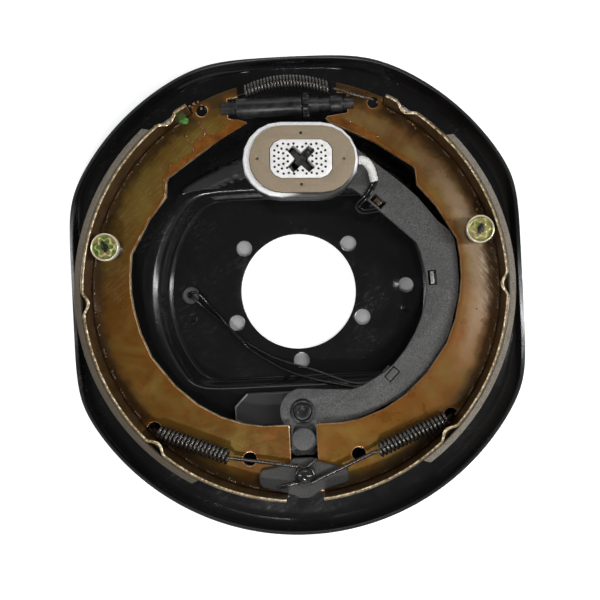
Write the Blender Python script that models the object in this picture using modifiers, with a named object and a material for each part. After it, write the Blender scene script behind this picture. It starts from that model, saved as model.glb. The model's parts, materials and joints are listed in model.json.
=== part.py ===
"""Electric trailer brake: a 12 by 2 inch drum brake on its pressed backing plate.

The part lies on the face that bolts to the axle flange. +Z points to the open side of the drum, +Y to
the shoe adjuster and -Y to the anchor post. Each piece is drawn about the axle's axis, and at the end
all of it moves up by CENTRE_SHIFT, so that the origin is below the middle of the plate's outline.
"""

import math

import bmesh
import bpy
from mathutils import Matrix, Vector

# Driving dimensions, in metres and degrees
GAP = 0.0003
DRUM_BORE_D = 0.3048
DRUM_CLEARANCE = 0.00075
SHOE_WIDTH = 0.0508
LINING_THICKNESS = 0.0042
TABLE_THICKNESS = 0.0021
WEB_THICKNESS = 0.005

SHEET = 0.003
AXLE_HOLE_R = 0.0434
BOLT_CIRCLE_R = 0.0523
BOLT_HOLE_R = 0.006
BOLT_PITCH_DEG = 65.5
PAN_R = 0.096
PAN_TOP_FLAT = 0.0715
PAN_BOTTOM_FLAT = 0.0645
PAN_DEPTH = 0.013
WALL_R = 0.115
WALL_TOP_FLAT = 0.0785
WALL_BOTTOM_FLAT = 0.0735
WALL_ROLL = ((0.06, 0.05), (0.2, 0.30), (0.36, 0.62), (0.52, 0.83), (0.74, 0.96))
RIM_R = 0.1802
RIM_TOP_FLAT = 0.1723
RIM_SIDE_FLAT = 0.1655
LIP_START_R = 0.163
LIP_HEIGHT = 0.0088
LIP_EDGE = 0.0026
LEDGE_HEIGHT = 0.0017
LEDGE_SIZE = (0.013, 0.020)
RIB_ARC_R = 0.150
RIB_TOP_Y = 0.097
RIB_HALF_WIDTH = 0.0066
RIB_HALF_SPAN_DEG = 30.5
RIB_HEIGHT = 0.0032
SIDE_HOLE = (0.0815, 0.0009, 0.0058)
LOCATOR_DIMPLE = (0.0812, -0.0166, 0.0033)
LEAD_HOLE_R = 0.0048

PIVOT_Y = -0.0874
ANCHOR_Y = -0.1318
BLOCK_Y = -0.1067
ADJUSTER_Y = 0.1305
HOLD_DOWN = (0.1293, 0.0345)

BRACKET_THICKNESS = 0.006
BRACKET_CHAMFER = 0.0012
LEVER_THICKNESS = 0.006
LEVER_UNDER_WEB = 0.0019
LEVER_HOLE_R = 0.0076
LEVER_BOSS_R = 0.0162
STUD_R = 0.0065
STUD_SPACER_R = 0.0115
RIVET_R = 0.005
RIVET_HEAD_R = 0.0085
RIVET_HEAD_HEIGHT = 0.0022
BLOCK_R = 0.0084
BLOCK_ABOVE_WEB = 0.0022
LEVER_CLIPS = ((0.0615, 0.0605, 137), (0.0978, 0.0040, 92), (0.0655, -0.0640, 45))
LEVER_CLIP_SIZE = (0.0106, 0.0062)
CLIP_DROP = 0.0052
CLIP_THICKNESS = 0.0014
CLIP_REACH = 0.0088

ANCHOR_POST_R = 0.009
ANCHOR_NECK_R = 0.0046
ANCHOR_DOME_R = 0.0064
ANCHOR_DOME_HEIGHT = 0.0042
RETAINER_THICKNESS = 0.003
RETAINER_CHAMFER = 0.0006

ADJUSTER_R = 0.0073
ADJUSTER_FORK_R = 0.0053
ADJUSTER_BORE_R = 0.0043
ADJUSTER_NUT_LENGTH = 0.0474
ADJUSTER_FORK_LENGTH = 0.0104
ADJUSTER_FORK_END_X = 0.047
STAR_TIP_R = 0.0088
STAR_ROOT_R = 0.0074
STAR_TEETH = 14
STAR_WIDTH = 0.0042
SCREW_BODY_R = 0.0067
SCREW_BODY_LENGTH = 0.0071
SCREW_NECK_R = 0.0053
SCREW_NECK_LENGTH = 0.0078
SOCKET_R = 0.0063
SOCKET_LENGTH = 0.0085
WEB_NOTCH_X = 0.0425
WEB_HORN_R = 0.1495

SPRING_NOTCH = (0.1055, -0.0945, 0.0052)
RETRACT_COIL_FAR = (0.1006, -0.0961)
RETRACT_COIL_NEAR = (0.0530, -0.1156)
RETRACT_COIL_R = 0.0049
RETRACT_WIRE_R = 0.001
RETRACT_TURNS = 16
ADJUST_COIL_R = 0.0044
ADJUST_WIRE_R = 0.0008
ADJUST_TURNS = 24
HOLD_COIL_R = 0.0072
HOLD_WIRE_R = 0.001
HOLD_TURNS = 6
HOLD_SPRING_HEIGHT = 0.0185
HOLD_PIN_R = 0.0019
HOLD_PIN_HEAD_R = 0.0055
HOLD_CUP_R = 0.0096
HOLD_CUP_WALL = 0.001
HOLD_CUP_HEIGHT = 0.0052

MAGNET_AT = (0.0068, 0.0887)
MAGNET_TURN_DEG = -1.7
MAGNET_TILT_DEG = 5.0
MAGNET_LIFT = 0.0085
MAGNET_LENGTH = 0.0802
MAGNET_WIDTH = 0.0528
CASE_HEIGHT = 0.0165
CASE_WALL = 0.0014
CASE_LIP = 0.0032
CASE_SHOULDER = 0.0022
FACE_OFFSET = 0.0011
FACE_THICKNESS = 0.0065
FACE_PROUD = 0.0035
CORE_LENGTH = 0.0425
CORE_WIDTH = 0.0264
CORE_CHAMFER = 0.0062
CROSS_ARM = 0.0105
CROSS_WIDTH = 0.0058
CROSS_CENTRE_R = 0.0046
POST_R = 0.0032
MAGNET_COIL_R = 0.0085
MAGNET_WIRE_R = 0.0009
MAGNET_TURNS = 3

LEAD_R = 0.001
SLEEVE_R = 0.0032
SLEEVE_BORE_R = 0.0027
GROMMET_FLANGE_R = 0.0066
SLOT_AT = (0.013, 0.128)
SLOT_SIZE = (0.020, 0.0095)

# Levels above the mounting face that follow from the sizes above
ANNULUS_Z = PAN_DEPTH + SHEET
SHOE_LOW_Z = ANNULUS_Z + LEDGE_HEIGHT + GAP
SHOE_HIGH_Z = SHOE_LOW_Z + SHOE_WIDTH
WEB_LOW_Z = SHOE_LOW_Z + (SHOE_WIDTH - WEB_THICKNESS) / 2
WEB_HIGH_Z = WEB_LOW_Z + WEB_THICKNESS
WEB_MID_Z = (WEB_LOW_Z + WEB_HIGH_Z) / 2
LEVER_HIGH_Z = WEB_LOW_Z - LEVER_UNDER_WEB
LEVER_LOW_Z = LEVER_HIGH_Z - LEVER_THICKNESS
BRACKET_LOW_Z = ANNULUS_Z + GAP
BRACKET_HIGH_Z = BRACKET_LOW_Z + BRACKET_THICKNESS
RETAINER_LOW_Z = WEB_HIGH_Z + GAP
RETAINER_HIGH_Z = RETAINER_LOW_Z + RETAINER_THICKNESS

LINING_OUTER_R = DRUM_BORE_D / 2 - DRUM_CLEARANCE
LINING_INNER_R = LINING_OUTER_R - LINING_THICKNESS
TABLE_OUTER_R = LINING_INNER_R - GAP
TABLE_INNER_R = TABLE_OUTER_R - TABLE_THICKNESS
WEB_OUTER_R = TABLE_INNER_R - GAP

MAGNET_BASE_Z = LEVER_HIGH_Z + MAGNET_LIFT

# Nibs crimped into both edges of a shoe table, and the plate's ledges under them
NIB_DEGREES = (55.5, -1.5, -46.0)
NIB_DEPTH = 0.0042
NIB_HALF_DEG = 3.2
NIB_REACH = 0.0075
TABLE_DEGREES = (62.0, -85.0)
LINING_DEGREES = {"left": (50.5, -61.0), "right": (43.0, -56.5)}


def polar(radius, degrees, centre=(0.0, 0.0)):
    turn = math.radians(degrees)
    return (centre[0] + radius * math.cos(turn), centre[1] + radius * math.sin(turn))


def arc(radius, start, end, steps, centre=(0.0, 0.0)):
    return [polar(radius, start + (end - start) * i / steps, centre) for i in range(steps + 1)]


def circle(radius, centre=(0.0, 0.0), steps=20):
    return arc(radius, 180 / steps, 360 - 180 / steps, steps - 1, centre)


def oval(length, width, steps=10, centre=(0.0, 0.0)):
    """A slot shape: two half circles joined by straight sides along X."""
    radius = width / 2
    reach = length / 2 - radius
    right = arc(radius, -90, 90, steps, (centre[0] + reach, centre[1]))
    left = arc(radius, 90, 270, steps, (centre[0] - reach, centre[1]))
    return right + left


def mirrored(points):
    return [(-x, y) for x, y in reversed(points)]


def smooth_path(points, per_span):
    """A Catmull-Rom curve through the route's own points."""
    points = [Vector(p) for p in points]
    ends = [2 * points[0] - points[1]] + points + [2 * points[-1] - points[-2]]
    path = []
    for a, b, c, d in zip(ends, ends[1:], ends[2:], ends[3:]):
        for i in range(per_span):
            t = i / per_span
            path.append(
                0.5 * (2 * b + (c - a) * t + (2 * a - 5 * b + 4 * c - d) * t**2 + (3 * b - a - 3 * c + d) * t**3)
            )
    return path + [points[-1]]


def coil(start, end, radius, turns, per_turn, side, bow=0.0):
    """A helix from start to end. side is where its first point lies, and bow arches its axis."""
    start, end, side = Vector(start), Vector(end), Vector(side).normalized()
    across = (end - start).normalized().cross(side).normalized()
    steps = turns * per_turn
    points = []
    for i in range(steps + 1):
        t = i / steps
        turn = math.tau * turns * t
        axis = start.lerp(end, t) + Vector((0, 4 * bow * t * (1 - t), 0))
        points.append(axis + radius * (math.cos(turn) * side + math.sin(turn) * across))
    return points


def clear_scene():
    for obj in list(bpy.data.objects):
        bpy.data.objects.remove(obj, do_unlink=True)


def new_collection(name):
    collection = bpy.data.collections.new(name)
    bpy.context.scene.collection.children.link(collection)
    return collection


def material(name, colour, roughness, metallic):
    made = bpy.data.materials.new(name)
    made.use_nodes = True
    shader = made.node_tree.nodes["Principled BSDF"]
    shader.inputs["Base Color"].default_value = (*colour, 1.0)
    shader.inputs["Roughness"].default_value = roughness
    shader.inputs["Metallic"].default_value = metallic
    made.diffuse_color = (*colour, 1.0)
    return made


def empty(name, at, rotation=(0, 0, 0)):
    made = bpy.data.objects.new(name, None)
    made.location = at
    made.rotation_euler = rotation
    PARTS.objects.link(made)
    bpy.context.view_layer.update()
    return made


def add(obj, finish=None, parent=None, helper=False):
    """Puts an object among the parts, or among the cutters, with its place in the world kept."""
    (CUTTERS if helper else PARTS).objects.link(obj)
    if helper:
        obj.hide_render = True
        obj.display_type = "WIRE"
    if finish:
        obj.data.materials.append(finish)
    if parent:
        obj.parent = parent
        obj.matrix_parent_inverse = parent.matrix_world.inverted()
    if obj.type == "MESH":
        obj.data.shade_smooth()
        obj.data.set_sharp_from_angle(angle=math.radians(32))
    return obj


def mesh_object(name, points, faces):
    mesh = bpy.data.meshes.new(name)
    built = bmesh.new()
    corners = [built.verts.new(p) for p in points]
    for face in faces:
        built.faces.new([corners[i] for i in face])
    bmesh.ops.recalc_face_normals(built, faces=built.faces)
    built.to_mesh(mesh)
    built.free()
    return bpy.data.objects.new(name, mesh)


def loft(name, sections, ring=False):
    """A skin over closed sections with as many points each. It is capped, or joined up as a ring."""
    count = len(sections[0])
    points = [p for section in sections for p in section]
    faces = []
    for i in range(len(sections) if ring else len(sections) - 1):
        low, high = i * count, (i + 1) % len(sections) * count
        for j in range(count):
            k = (j + 1) % count
            faces.append((low + j, low + k, high + k, high + j))
    if not ring:
        faces.append(tuple(range(count)))
        faces.append(tuple(range(len(points) - count, len(points))))
    return mesh_object(name, points, faces)


def inset(outline, distance):
    """The same clockwise outline, moved in by a distance all round."""
    moved = []
    for before, at, after in zip(outline[-1:] + outline[:-1], outline, outline[1:] + outline[:1]):
        a = Vector((at[0] - before[0], at[1] - before[1])).normalized()
        b = Vector((after[0] - at[0], after[1] - at[1])).normalized()
        inwards = Vector((a.y + b.y, -a.x - b.x)).normalized()
        reach = distance / max(0.3, inwards.dot(Vector((a.y, -a.x))))
        moved.append((at[0] + inwards.x * reach, at[1] + inwards.y * reach))
    return moved


def chamfered(name, outline, low, high, width):
    """A flat bar from a clockwise outline, with its upper edge broken all round."""
    rows = ((outline, low), (outline, high - width), (inset(outline, width), high))
    return loft(name, [[(x, y, z) for x, y in points] for points, z in rows])


def flat_piece(name, outline, low, high, holes=()):
    """A piece cut from sheet: a filled 2D outline with its holes, given a thickness."""
    curve = bpy.data.curves.new(name, "CURVE")
    curve.dimensions = "2D"
    curve.fill_mode = "BOTH"
    curve.extrude = (high - low) / 2
    for loop in (outline, *holes):
        spline = curve.splines.new("POLY")
        spline.points.add(len(loop) - 1)
        for point, (x, y) in zip(spline.points, loop):
            point.co = (x, y, 0, 1)
        spline.use_cyclic_u = True
    drawn = bpy.data.objects.new(name + "_outline", curve)
    drawn.location = (0, 0, (low + high) / 2)
    bpy.context.scene.collection.objects.link(drawn)
    bpy.context.view_layer.update()
    evaluated = drawn.evaluated_get(bpy.context.evaluated_depsgraph_get())
    mesh = bpy.data.meshes.new_from_object(evaluated)
    built = bmesh.new()
    built.from_mesh(mesh)
    bmesh.ops.remove_doubles(built, verts=built.verts, dist=1e-6)
    bmesh.ops.recalc_face_normals(built, faces=built.faces)
    built.to_mesh(mesh)
    built.free()
    made = bpy.data.objects.new(name, mesh)
    made.matrix_world = drawn.matrix_world
    bpy.data.objects.remove(drawn)
    bpy.data.curves.remove(curve)
    return made


def turned(name, profile, at=(0, 0, 0), rotation=(0, 0, 0), steps=24, ring=False):
    """A profile of (radius, height) turned about its own Z. Its outer side runs from top to bottom."""
    mesh = bpy.data.meshes.new(name)
    edges = [(i, i + 1) for i in range(len(profile) - 1)]
    if ring:
        edges.append((len(profile) - 1, 0))
    mesh.from_pydata([(r, 0, z) for r, z in profile], edges, [])
    made = bpy.data.objects.new(name, mesh)
    made.location = at
    made.rotation_euler = rotation
    screw = made.modifiers.new("turn", "SCREW")
    screw.steps = screw.render_steps = steps
    screw.use_merge_vertices = True
    screw.merge_threshold = 1e-6
    screw.use_smooth_shade = True
    return made


def wire(name, points, radius, finish, parent=None, resolution=1):
    curve = bpy.data.curves.new(name, "CURVE")
    curve.dimensions = "3D"
    curve.bevel_depth = radius
    curve.bevel_resolution = resolution
    curve.use_fill_caps = True
    spline = curve.splines.new("POLY")
    spline.points.add(len(points) - 1)
    for point, place in zip(spline.points, points):
        point.co = (*place, 1)
    return add(bpy.data.objects.new(name, curve), finish, parent)


def boolean(obj, other, operation="DIFFERENCE"):
    change = obj.modifiers.new(other.name, "BOOLEAN")
    change.operation = operation
    change.object = other
    return obj


def post_cutter(name, radius, at, low, high, steps=20):
    return add(flat_piece(name, circle(radius, at, steps), low, high), helper=True)


def box_cutter(name, size, at, turn_deg=0.0):
    bpy.ops.mesh.primitive_cube_add(size=1, location=at, rotation=(0, 0, math.radians(turn_deg)))
    made = bpy.context.object
    made.name = name
    made.scale = size
    bpy.ops.object.transform_apply(location=False, rotation=False, scale=True)
    bpy.context.collection.objects.unlink(made)
    return add(made, helper=True)


def limited(radius, flats, degrees, sharpness):
    """A circle's radius at an angle, cut by flats at (direction, distance) with rounded corners."""
    total = radius**-sharpness
    for direction, distance in flats:
        facing = math.cos(math.radians(degrees - direction))
        if facing > 0.1:
            total += (distance / facing) ** -sharpness
    return total ** (-1 / sharpness)


RIM_FLATS = ((90, RIM_TOP_FLAT), (0, RIM_SIDE_FLAT), (180, RIM_SIDE_FLAT))
CENTRE_SHIFT = (RIM_R - limited(RIM_R, RIM_FLATS, 90, 50)) / 2


def plate_section(degrees):
    """The pressed sheet's section at one angle, as (radius, height): front face outwards, then the back."""
    pan = limited(PAN_R, ((90, PAN_TOP_FLAT), (-90, PAN_BOTTOM_FLAT)), degrees, 30)
    wall = limited(WALL_R, ((90, WALL_TOP_FLAT), (-90, WALL_BOTTOM_FLAT)), degrees, 14)
    rim = limited(RIM_R, RIM_FLATS, degrees, 50)
    lip = min(LIP_START_R, rim - 3 * LIP_EDGE)
    inner = rim - LIP_EDGE - lip
    width = rim - lip
    slope = wall - pan
    section = [(AXLE_HOLE_R, SHEET), (pan, SHEET)]
    for along, up in WALL_ROLL:
        section.append((pan + along * slope, SHEET + up * PAN_DEPTH))
    section += [(wall, ANNULUS_Z), (lip, ANNULUS_Z)]
    for along, up in ((0.5, 0.1), (0.85, 0.45), (1.0, 0.9)):
        section.append((lip + along * inner, ANNULUS_Z + up * LIP_HEIGHT))
    section += [(rim - LIP_EDGE / 2, ANNULUS_Z + LIP_HEIGHT), (rim, ANNULUS_Z + 0.9 * LIP_HEIGHT)]
    section += [(rim, ANNULUS_Z + 0.5 * LIP_HEIGHT), (lip + 0.85 * width, ANNULUS_Z - 0.1 * SHEET)]
    section.append((lip + 0.5 * width, PAN_DEPTH))
    section += [(wall + 0.1 * SHEET, PAN_DEPTH), (pan + 0.52 * slope + 0.53 * SHEET, 0.87 * PAN_DEPTH)]
    section += [(pan + 0.2 * slope + 0.8 * SHEET, 0.39 * PAN_DEPTH), (pan + 0.9 * SHEET, 0.0)]
    section.append((AXLE_HOLE_R, 0.0))
    return section


def bolt_holes():
    """Five holes in even steps, with the wider gap of the row at the top."""
    return [polar(BOLT_CIRCLE_R, -90 + step * BOLT_PITCH_DEG) for step in range(-2, 3)]


def rib_outline(shrink):
    """The kidney-shaped stiffening rib above the axle hole."""
    centre = (0.0, RIB_TOP_Y - RIB_ARC_R)
    half = RIB_HALF_WIDTH - shrink
    left, right = 90 + RIB_HALF_SPAN_DEG, 90 - RIB_HALF_SPAN_DEG
    outer = arc(RIB_ARC_R + half, left, right, 13, centre)
    end = arc(half, right, right - 180, 6, polar(RIB_ARC_R, right, centre))[1:-1]
    inner = arc(RIB_ARC_R - half, right, left, 13, centre)
    start = arc(half, left + 180, left, 6, polar(RIB_ARC_R, left, centre))[1:-1]
    return outer + end + inner + start


def backing_plate(finish):
    angles = 68
    columns = []
    for i in range(angles):
        degrees = 360 * i / angles
        columns.append([(*polar(radius, degrees), height) for radius, height in plate_section(degrees)])
    plate = loft("backing_plate", columns, ring=True)

    rib = flat_piece("rib_form", rib_outline(0), ANNULUS_Z - 0.8 * SHEET, ANNULUS_Z + RIB_HEIGHT)
    rib_edge = rib.modifiers.new("edge", "BEVEL")
    rib_edge.width = 0.4 * RIB_HEIGHT
    rib_edge.segments = 2
    boolean(plate, add(rib, helper=True), "UNION")
    for side in (1, -1):
        for degrees in NIB_DEGREES:
            turn = degrees if side > 0 else 180 - degrees
            middle = (TABLE_INNER_R + TABLE_OUTER_R) / 2
            low = ANNULUS_Z - SHEET / 2
            ledge = box_cutter(
                f"ledge_form_{turn:.0f}",
                (LEDGE_SIZE[0], LEDGE_SIZE[1], LEDGE_HEIGHT + SHEET / 2),
                (*polar(middle, turn), low + (LEDGE_HEIGHT + SHEET / 2) / 2),
                turn,
            )
            boolean(plate, ledge, "UNION")

    through = (-SHEET, 2 * ANNULUS_Z)
    hollow = flat_piece("rib_hollow", rib_outline(SHEET / 2), PAN_DEPTH - SHEET, ANNULUS_Z + RIB_HEIGHT - SHEET)
    boolean(plate, add(hollow, helper=True))
    holes = [("bolt", at, BOLT_HOLE_R) for at in bolt_holes()]
    holes += [("side", SIDE_HOLE[:2], SIDE_HOLE[2]), ("lead", (-SIDE_HOLE[0], SIDE_HOLE[1]), LEAD_HOLE_R)]
    holes += [("pin", (side * HOLD_DOWN[0], HOLD_DOWN[1]), HOLD_PIN_R + 2 * GAP) for side in (1, -1)]
    holes += [("rivet", (0.0, y), RIVET_R + GAP) for y in (PIVOT_Y, ANCHOR_Y)]
    for number, (kind, at, radius) in enumerate(holes):
        boolean(plate, post_cutter(f"{kind}_hole_{number}", radius, at, *through))
    for side in (1, -1):
        x, y, radius = LOCATOR_DIMPLE
        boolean(plate, post_cutter(f"dimple_form_{side}", radius, (side * x, y), 0.45 * SHEET, 2 * SHEET, 12))
    slot = flat_piece("adjusting_slot", oval(*SLOT_SIZE, 6, SLOT_AT), *through)
    boolean(plate, add(slot, helper=True))
    add(plate, finish)


def plug_and_grommet(rubber):
    """A plug clips into the adjusting slot, and a grommet guides both leads through the plate."""
    body = flat_piece(
        "adjuster_slot_plug", oval(SLOT_SIZE[0] - 2 * GAP, SLOT_SIZE[1] - 2 * GAP, 6, SLOT_AT),
        PAN_DEPTH - SHEET / 2, ANNULUS_Z + SHEET / 3,
    )
    flange = flat_piece(
        "plug_flange_form", oval(SLOT_SIZE[0] + SHEET, SLOT_SIZE[1] + SHEET, 6, SLOT_AT),
        PAN_DEPTH - 0.7 * SHEET, PAN_DEPTH - GAP,
    )
    add(boolean(body, add(flange, helper=True), "UNION"), rubber)
    bore = 2 * LEAD_R + 2 * GAP
    body_r = LEAD_HOLE_R - GAP
    profile = [(bore, SHEET + 0.0026), (GROMMET_FLANGE_R - 0.001, SHEET + 0.0026), (GROMMET_FLANGE_R, SHEET + 0.0014)]
    profile += [(GROMMET_FLANGE_R, SHEET + GAP), (body_r, SHEET + GAP), (body_r, GAP), (bore, GAP)]
    add(turned("lead_grommet", profile, (-SIDE_HOLE[0], SIDE_HOLE[1], 0), ring=True), rubber)


def bracket_and_posts(black, steel):
    """The bracket stiffens the plate under the anchor post and the lever's stud, which are riveted through both."""
    top = PIVOT_Y + 0.0135
    outline = [(0.041, top), (0.0505, PIVOT_Y + 0.004), (0.0505, PIVOT_Y - 0.006), (0.038, PIVOT_Y - 0.013)]
    outline += [(0.026, ANCHOR_Y - 0.003), (0.016, ANCHOR_Y - 0.0095)]
    bracket = chamfered("pivot_bracket", outline + mirrored(outline), BRACKET_LOW_Z, BRACKET_HIGH_Z, BRACKET_CHAMFER)
    for number, y in enumerate((PIVOT_Y, ANCHOR_Y)):
        hole = post_cutter(f"bracket_hole_{number}", RIVET_R + GAP, (0.0, y), 0, 2 * BRACKET_HIGH_Z)
        boolean(bracket, hole)
    add(bracket, black)

    seat = BRACKET_HIGH_Z + GAP
    back = PAN_DEPTH - GAP
    tail = [(RIVET_R, seat), (RIVET_R, back), (RIVET_HEAD_R, back), (0.7 * RIVET_HEAD_R, back - RIVET_HEAD_HEIGHT)]
    tail.append((0.0, back - RIVET_HEAD_HEIGHT))

    lever_seat = LEVER_LOW_Z - GAP
    stud_top = LEVER_HIGH_Z + 0.0024
    profile = [(0.0, stud_top - 0.0008), (0.45 * STUD_R, stud_top - 0.0008), (0.55 * STUD_R, stud_top)]
    profile += [(STUD_R - 0.0006, stud_top), (STUD_R, stud_top - 0.0006), (STUD_R, lever_seat)]
    profile += [(STUD_SPACER_R, lever_seat), (STUD_SPACER_R, seat)] + tail
    add(turned("lever_stud", profile, (0, PIVOT_Y, 0)), steel)

    shoulder = WEB_HIGH_Z
    dome_base = RETAINER_HIGH_Z + 6 * RETRACT_WIRE_R
    profile = [(0.0, dome_base + ANCHOR_DOME_HEIGHT)]
    for turn in (70, 50, 30, 10):
        x, z = polar(1.0, turn)
        profile.append((ANCHOR_DOME_R * x, dome_base + ANCHOR_DOME_HEIGHT * z))
    profile += [(ANCHOR_DOME_R, dome_base), (ANCHOR_NECK_R, dome_base - 0.0006), (ANCHOR_NECK_R, shoulder)]
    profile += [(ANCHOR_POST_R, shoulder), (ANCHOR_POST_R, seat)] + tail
    add(turned("anchor_post", profile, (0, ANCHOR_Y, 0)), steel)


def shoe_retainer(finish):
    """The diamond-shaped plate on the anchor post that keeps both shoe webs down."""
    outline = [(-0.0080, 0.0122), (0.0058, 0.0122), (0.0098, 0.0092), (0.0269, 0.0046), (0.0304, 0.0023)]
    outline += [(0.0308, -0.0046), (0.0292, -0.0063), (0.0095, -0.0116), (0.0058, -0.0146), (0.0022, -0.0160)]
    outline += [(-0.0040, -0.0160), (-0.0080, -0.0138), (-0.0197, -0.0104), (-0.0303, -0.0074)]
    outline += [(-0.0326, -0.0040), (-0.0323, 0.0022), (-0.0302, 0.0051), (-0.0215, 0.0065), (-0.0106, 0.0092)]
    whole = [(x, ANCHOR_Y + y) for x, y in outline]
    plate = chamfered("shoe_retainer", whole, RETAINER_LOW_Z, RETAINER_HIGH_Z, RETAINER_CHAMFER)
    hole = post_cutter("retainer_hole", ANCHOR_NECK_R + GAP, (0.0, ANCHOR_Y), WEB_LOW_Z, 2 * RETAINER_HIGH_Z)
    add(boolean(plate, hole), finish)


def web_outline(side):
    """Right-hand web, from the lower end round the lining side to the adjuster notch and back inside."""
    tine_x = 0.0353
    lower_tine_x = 0.0267 if side == "right" else 0.0353
    notch = ADJUSTER_FORK_R + 0.0016
    bottom = ANCHOR_POST_R + GAP
    seat_low = arc(bottom, -62, 26, 8, (0.0, ANCHOR_Y))
    outline = [(0.0115, -math.sqrt(WEB_OUTER_R**2 - 0.0115**2))]
    outline += arc(WEB_OUTER_R, -84, TABLE_DEGREES[0] + 0.3, 50)
    outline += arc(WEB_HORN_R, TABLE_DEGREES[0] + 0.8, 76.3, 8)
    outline += [(tine_x, ADJUSTER_Y + notch + 0.0008)]
    outline += [(WEB_NOTCH_X, ADJUSTER_Y + notch), (WEB_NOTCH_X, ADJUSTER_Y - notch)]
    outline += [(lower_tine_x + 0.0012, ADJUSTER_Y - notch - 0.0018), (lower_tine_x, 0.1203)]
    outline += [(lower_tine_x + 0.003, 0.1172), (0.0606, 0.1021), (0.0868, 0.0840), (0.0884, 0.0815)]
    outline += [(0.0893, 0.0701), (0.1022, 0.0545), (0.1160, 0.0303), (0.1175, 0.0170), (0.1177, 0.0040)]
    outline += [(0.1162, -0.0088), (0.1122, -0.0260), (0.1050, -0.0435), (0.0897, -0.0642), (0.0741, -0.0785)]
    outline += [(0.0584, -0.0879), (0.0414, -0.0940), (0.0280, -0.0962), (0.0106, -0.0962), (0.0096, -0.0972)]
    outline += [(0.0096, ANCHOR_Y + 0.0112)]
    return outline + list(reversed(seat_low))


def shoe_parts(side, finishes, parent):
    """One brake shoe: a web, a table that bends round it with crimped nibs, and the bonded lining."""
    flip = 1 if side == "right" else -1
    outline = web_outline(side)
    holes = [
        circle(0.0041, (0.0610, 0.1298), 14),
        circle(0.0050, (0.0388, -0.1190), 16),
        circle(HOLD_PIN_R + 0.0034, HOLD_DOWN, 16),
    ]
    if flip < 0:
        outline = mirrored(outline)
        holes = [mirrored(hole) for hole in holes]
    web = flat_piece(f"{side}_shoe_web", outline, WEB_LOW_Z, WEB_HIGH_Z, holes)
    x, y, radius = SPRING_NOTCH
    notch = post_cutter(f"{side}_spring_notch", radius, (flip * x, y), WEB_LOW_Z - GAP, WEB_HIGH_Z + GAP)
    add(boolean(web, notch), finishes["web"], parent)

    start, end = TABLE_DEGREES
    angles = {start, end}
    angles |= {end + step * 4.0 for step in range(1, int((start - end) / 4.0) + 1)}
    for nib in NIB_DEGREES:
        angles |= {nib + step * NIB_HALF_DEG / 3 for step in range(-3, 4)}
    heights = (0.0, NIB_REACH, SHOE_WIDTH - NIB_REACH, SHOE_WIDTH)
    sections = []
    for degrees in sorted(angles):
        inner, outer = [], []
        for height in heights:
            edge = max(0.0, 1 - min(height, SHOE_WIDTH - height) / NIB_REACH)
            bump = sum(
                (0.5 + 0.5 * math.cos(math.pi * (degrees - nib) / NIB_HALF_DEG)) ** 0.7
                for nib in NIB_DEGREES
                if abs(degrees - nib) < NIB_HALF_DEG
            )
            sink = NIB_DEPTH * bump * edge
            turn = degrees if flip > 0 else 180 - degrees
            inner.append((*polar(TABLE_INNER_R - sink, turn), SHOE_LOW_Z + height))
            outer.append((*polar(TABLE_OUTER_R - sink, turn), SHOE_LOW_Z + height))
        sections.append(inner + outer[::-1])
    add(loft(f"{side}_shoe_table", sections), finishes["table"], parent)

    start, end = LINING_DEGREES[side]
    taper = 1.6
    block = arc(LINING_INNER_R, end + taper / 4, start - taper / 4, 30)
    block += arc(LINING_OUTER_R, start - taper, end + taper, 34)
    if flip < 0:
        block = mirrored(block)
    lining = flat_piece(f"{side}_shoe_lining", block, SHOE_LOW_Z + 0.0006, SHOE_HIGH_Z - 0.0004)
    add(lining, finishes["lining"], parent)


def retract_spring(side, finish):
    """A coil between a hole in the web and the anchor post, with a long hook round the post's neck."""
    flip = 1 if side == "right" else -1
    level = RETAINER_HIGH_Z + GAP + RETRACT_WIRE_R
    if side == "right":
        level += 2.6 * RETRACT_WIRE_R
    lie = WEB_HIGH_Z + RETRACT_COIL_R + RETRACT_WIRE_R + 2 * GAP
    far = Vector((*RETRACT_COIL_FAR, lie))
    near = Vector((*RETRACT_COIL_NEAR, lie))
    along = (near - far).normalized()
    hole = Vector((*SPRING_NOTCH[:2], 0.0))
    wrap = ANCHOR_NECK_R + RETRACT_WIRE_R + GAP
    hook = [hole + Vector((0, 0, WEB_LOW_Z + 0.0012)), hole + Vector((0, 0, WEB_HIGH_Z + 0.002))]
    hook.append(far - 0.0026 * along + Vector((0, 0, 0.002)))
    turns = coil(far, near, RETRACT_COIL_R, RETRACT_TURNS, 7, (0, 0, 1))
    reach = near + 0.0042 * along
    reach.z = level + 0.0012
    if side == "right":
        loop = [polar(wrap, turn, (0.0, ANCHOR_Y)) for turn in range(-58, -289, -23)]
        tail = (0.0088, ANCHOR_Y + 0.0118)
    else:
        loop = [polar(wrap, turn, (0.0, ANCHOR_Y)) for turn in range(92, 321, 23)]
        tail = (0.0185, ANCHOR_Y - 0.0072)
    path = hook + turns + [reach] + [Vector((x, y, level)) for x, y in loop] + [Vector((*tail, level))]
    if flip < 0:
        path = [Vector((-p.x, p.y, p.z)) for p in path]
    wire(f"{side}_retract_spring", path, RETRACT_WIRE_R, finish)


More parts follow.
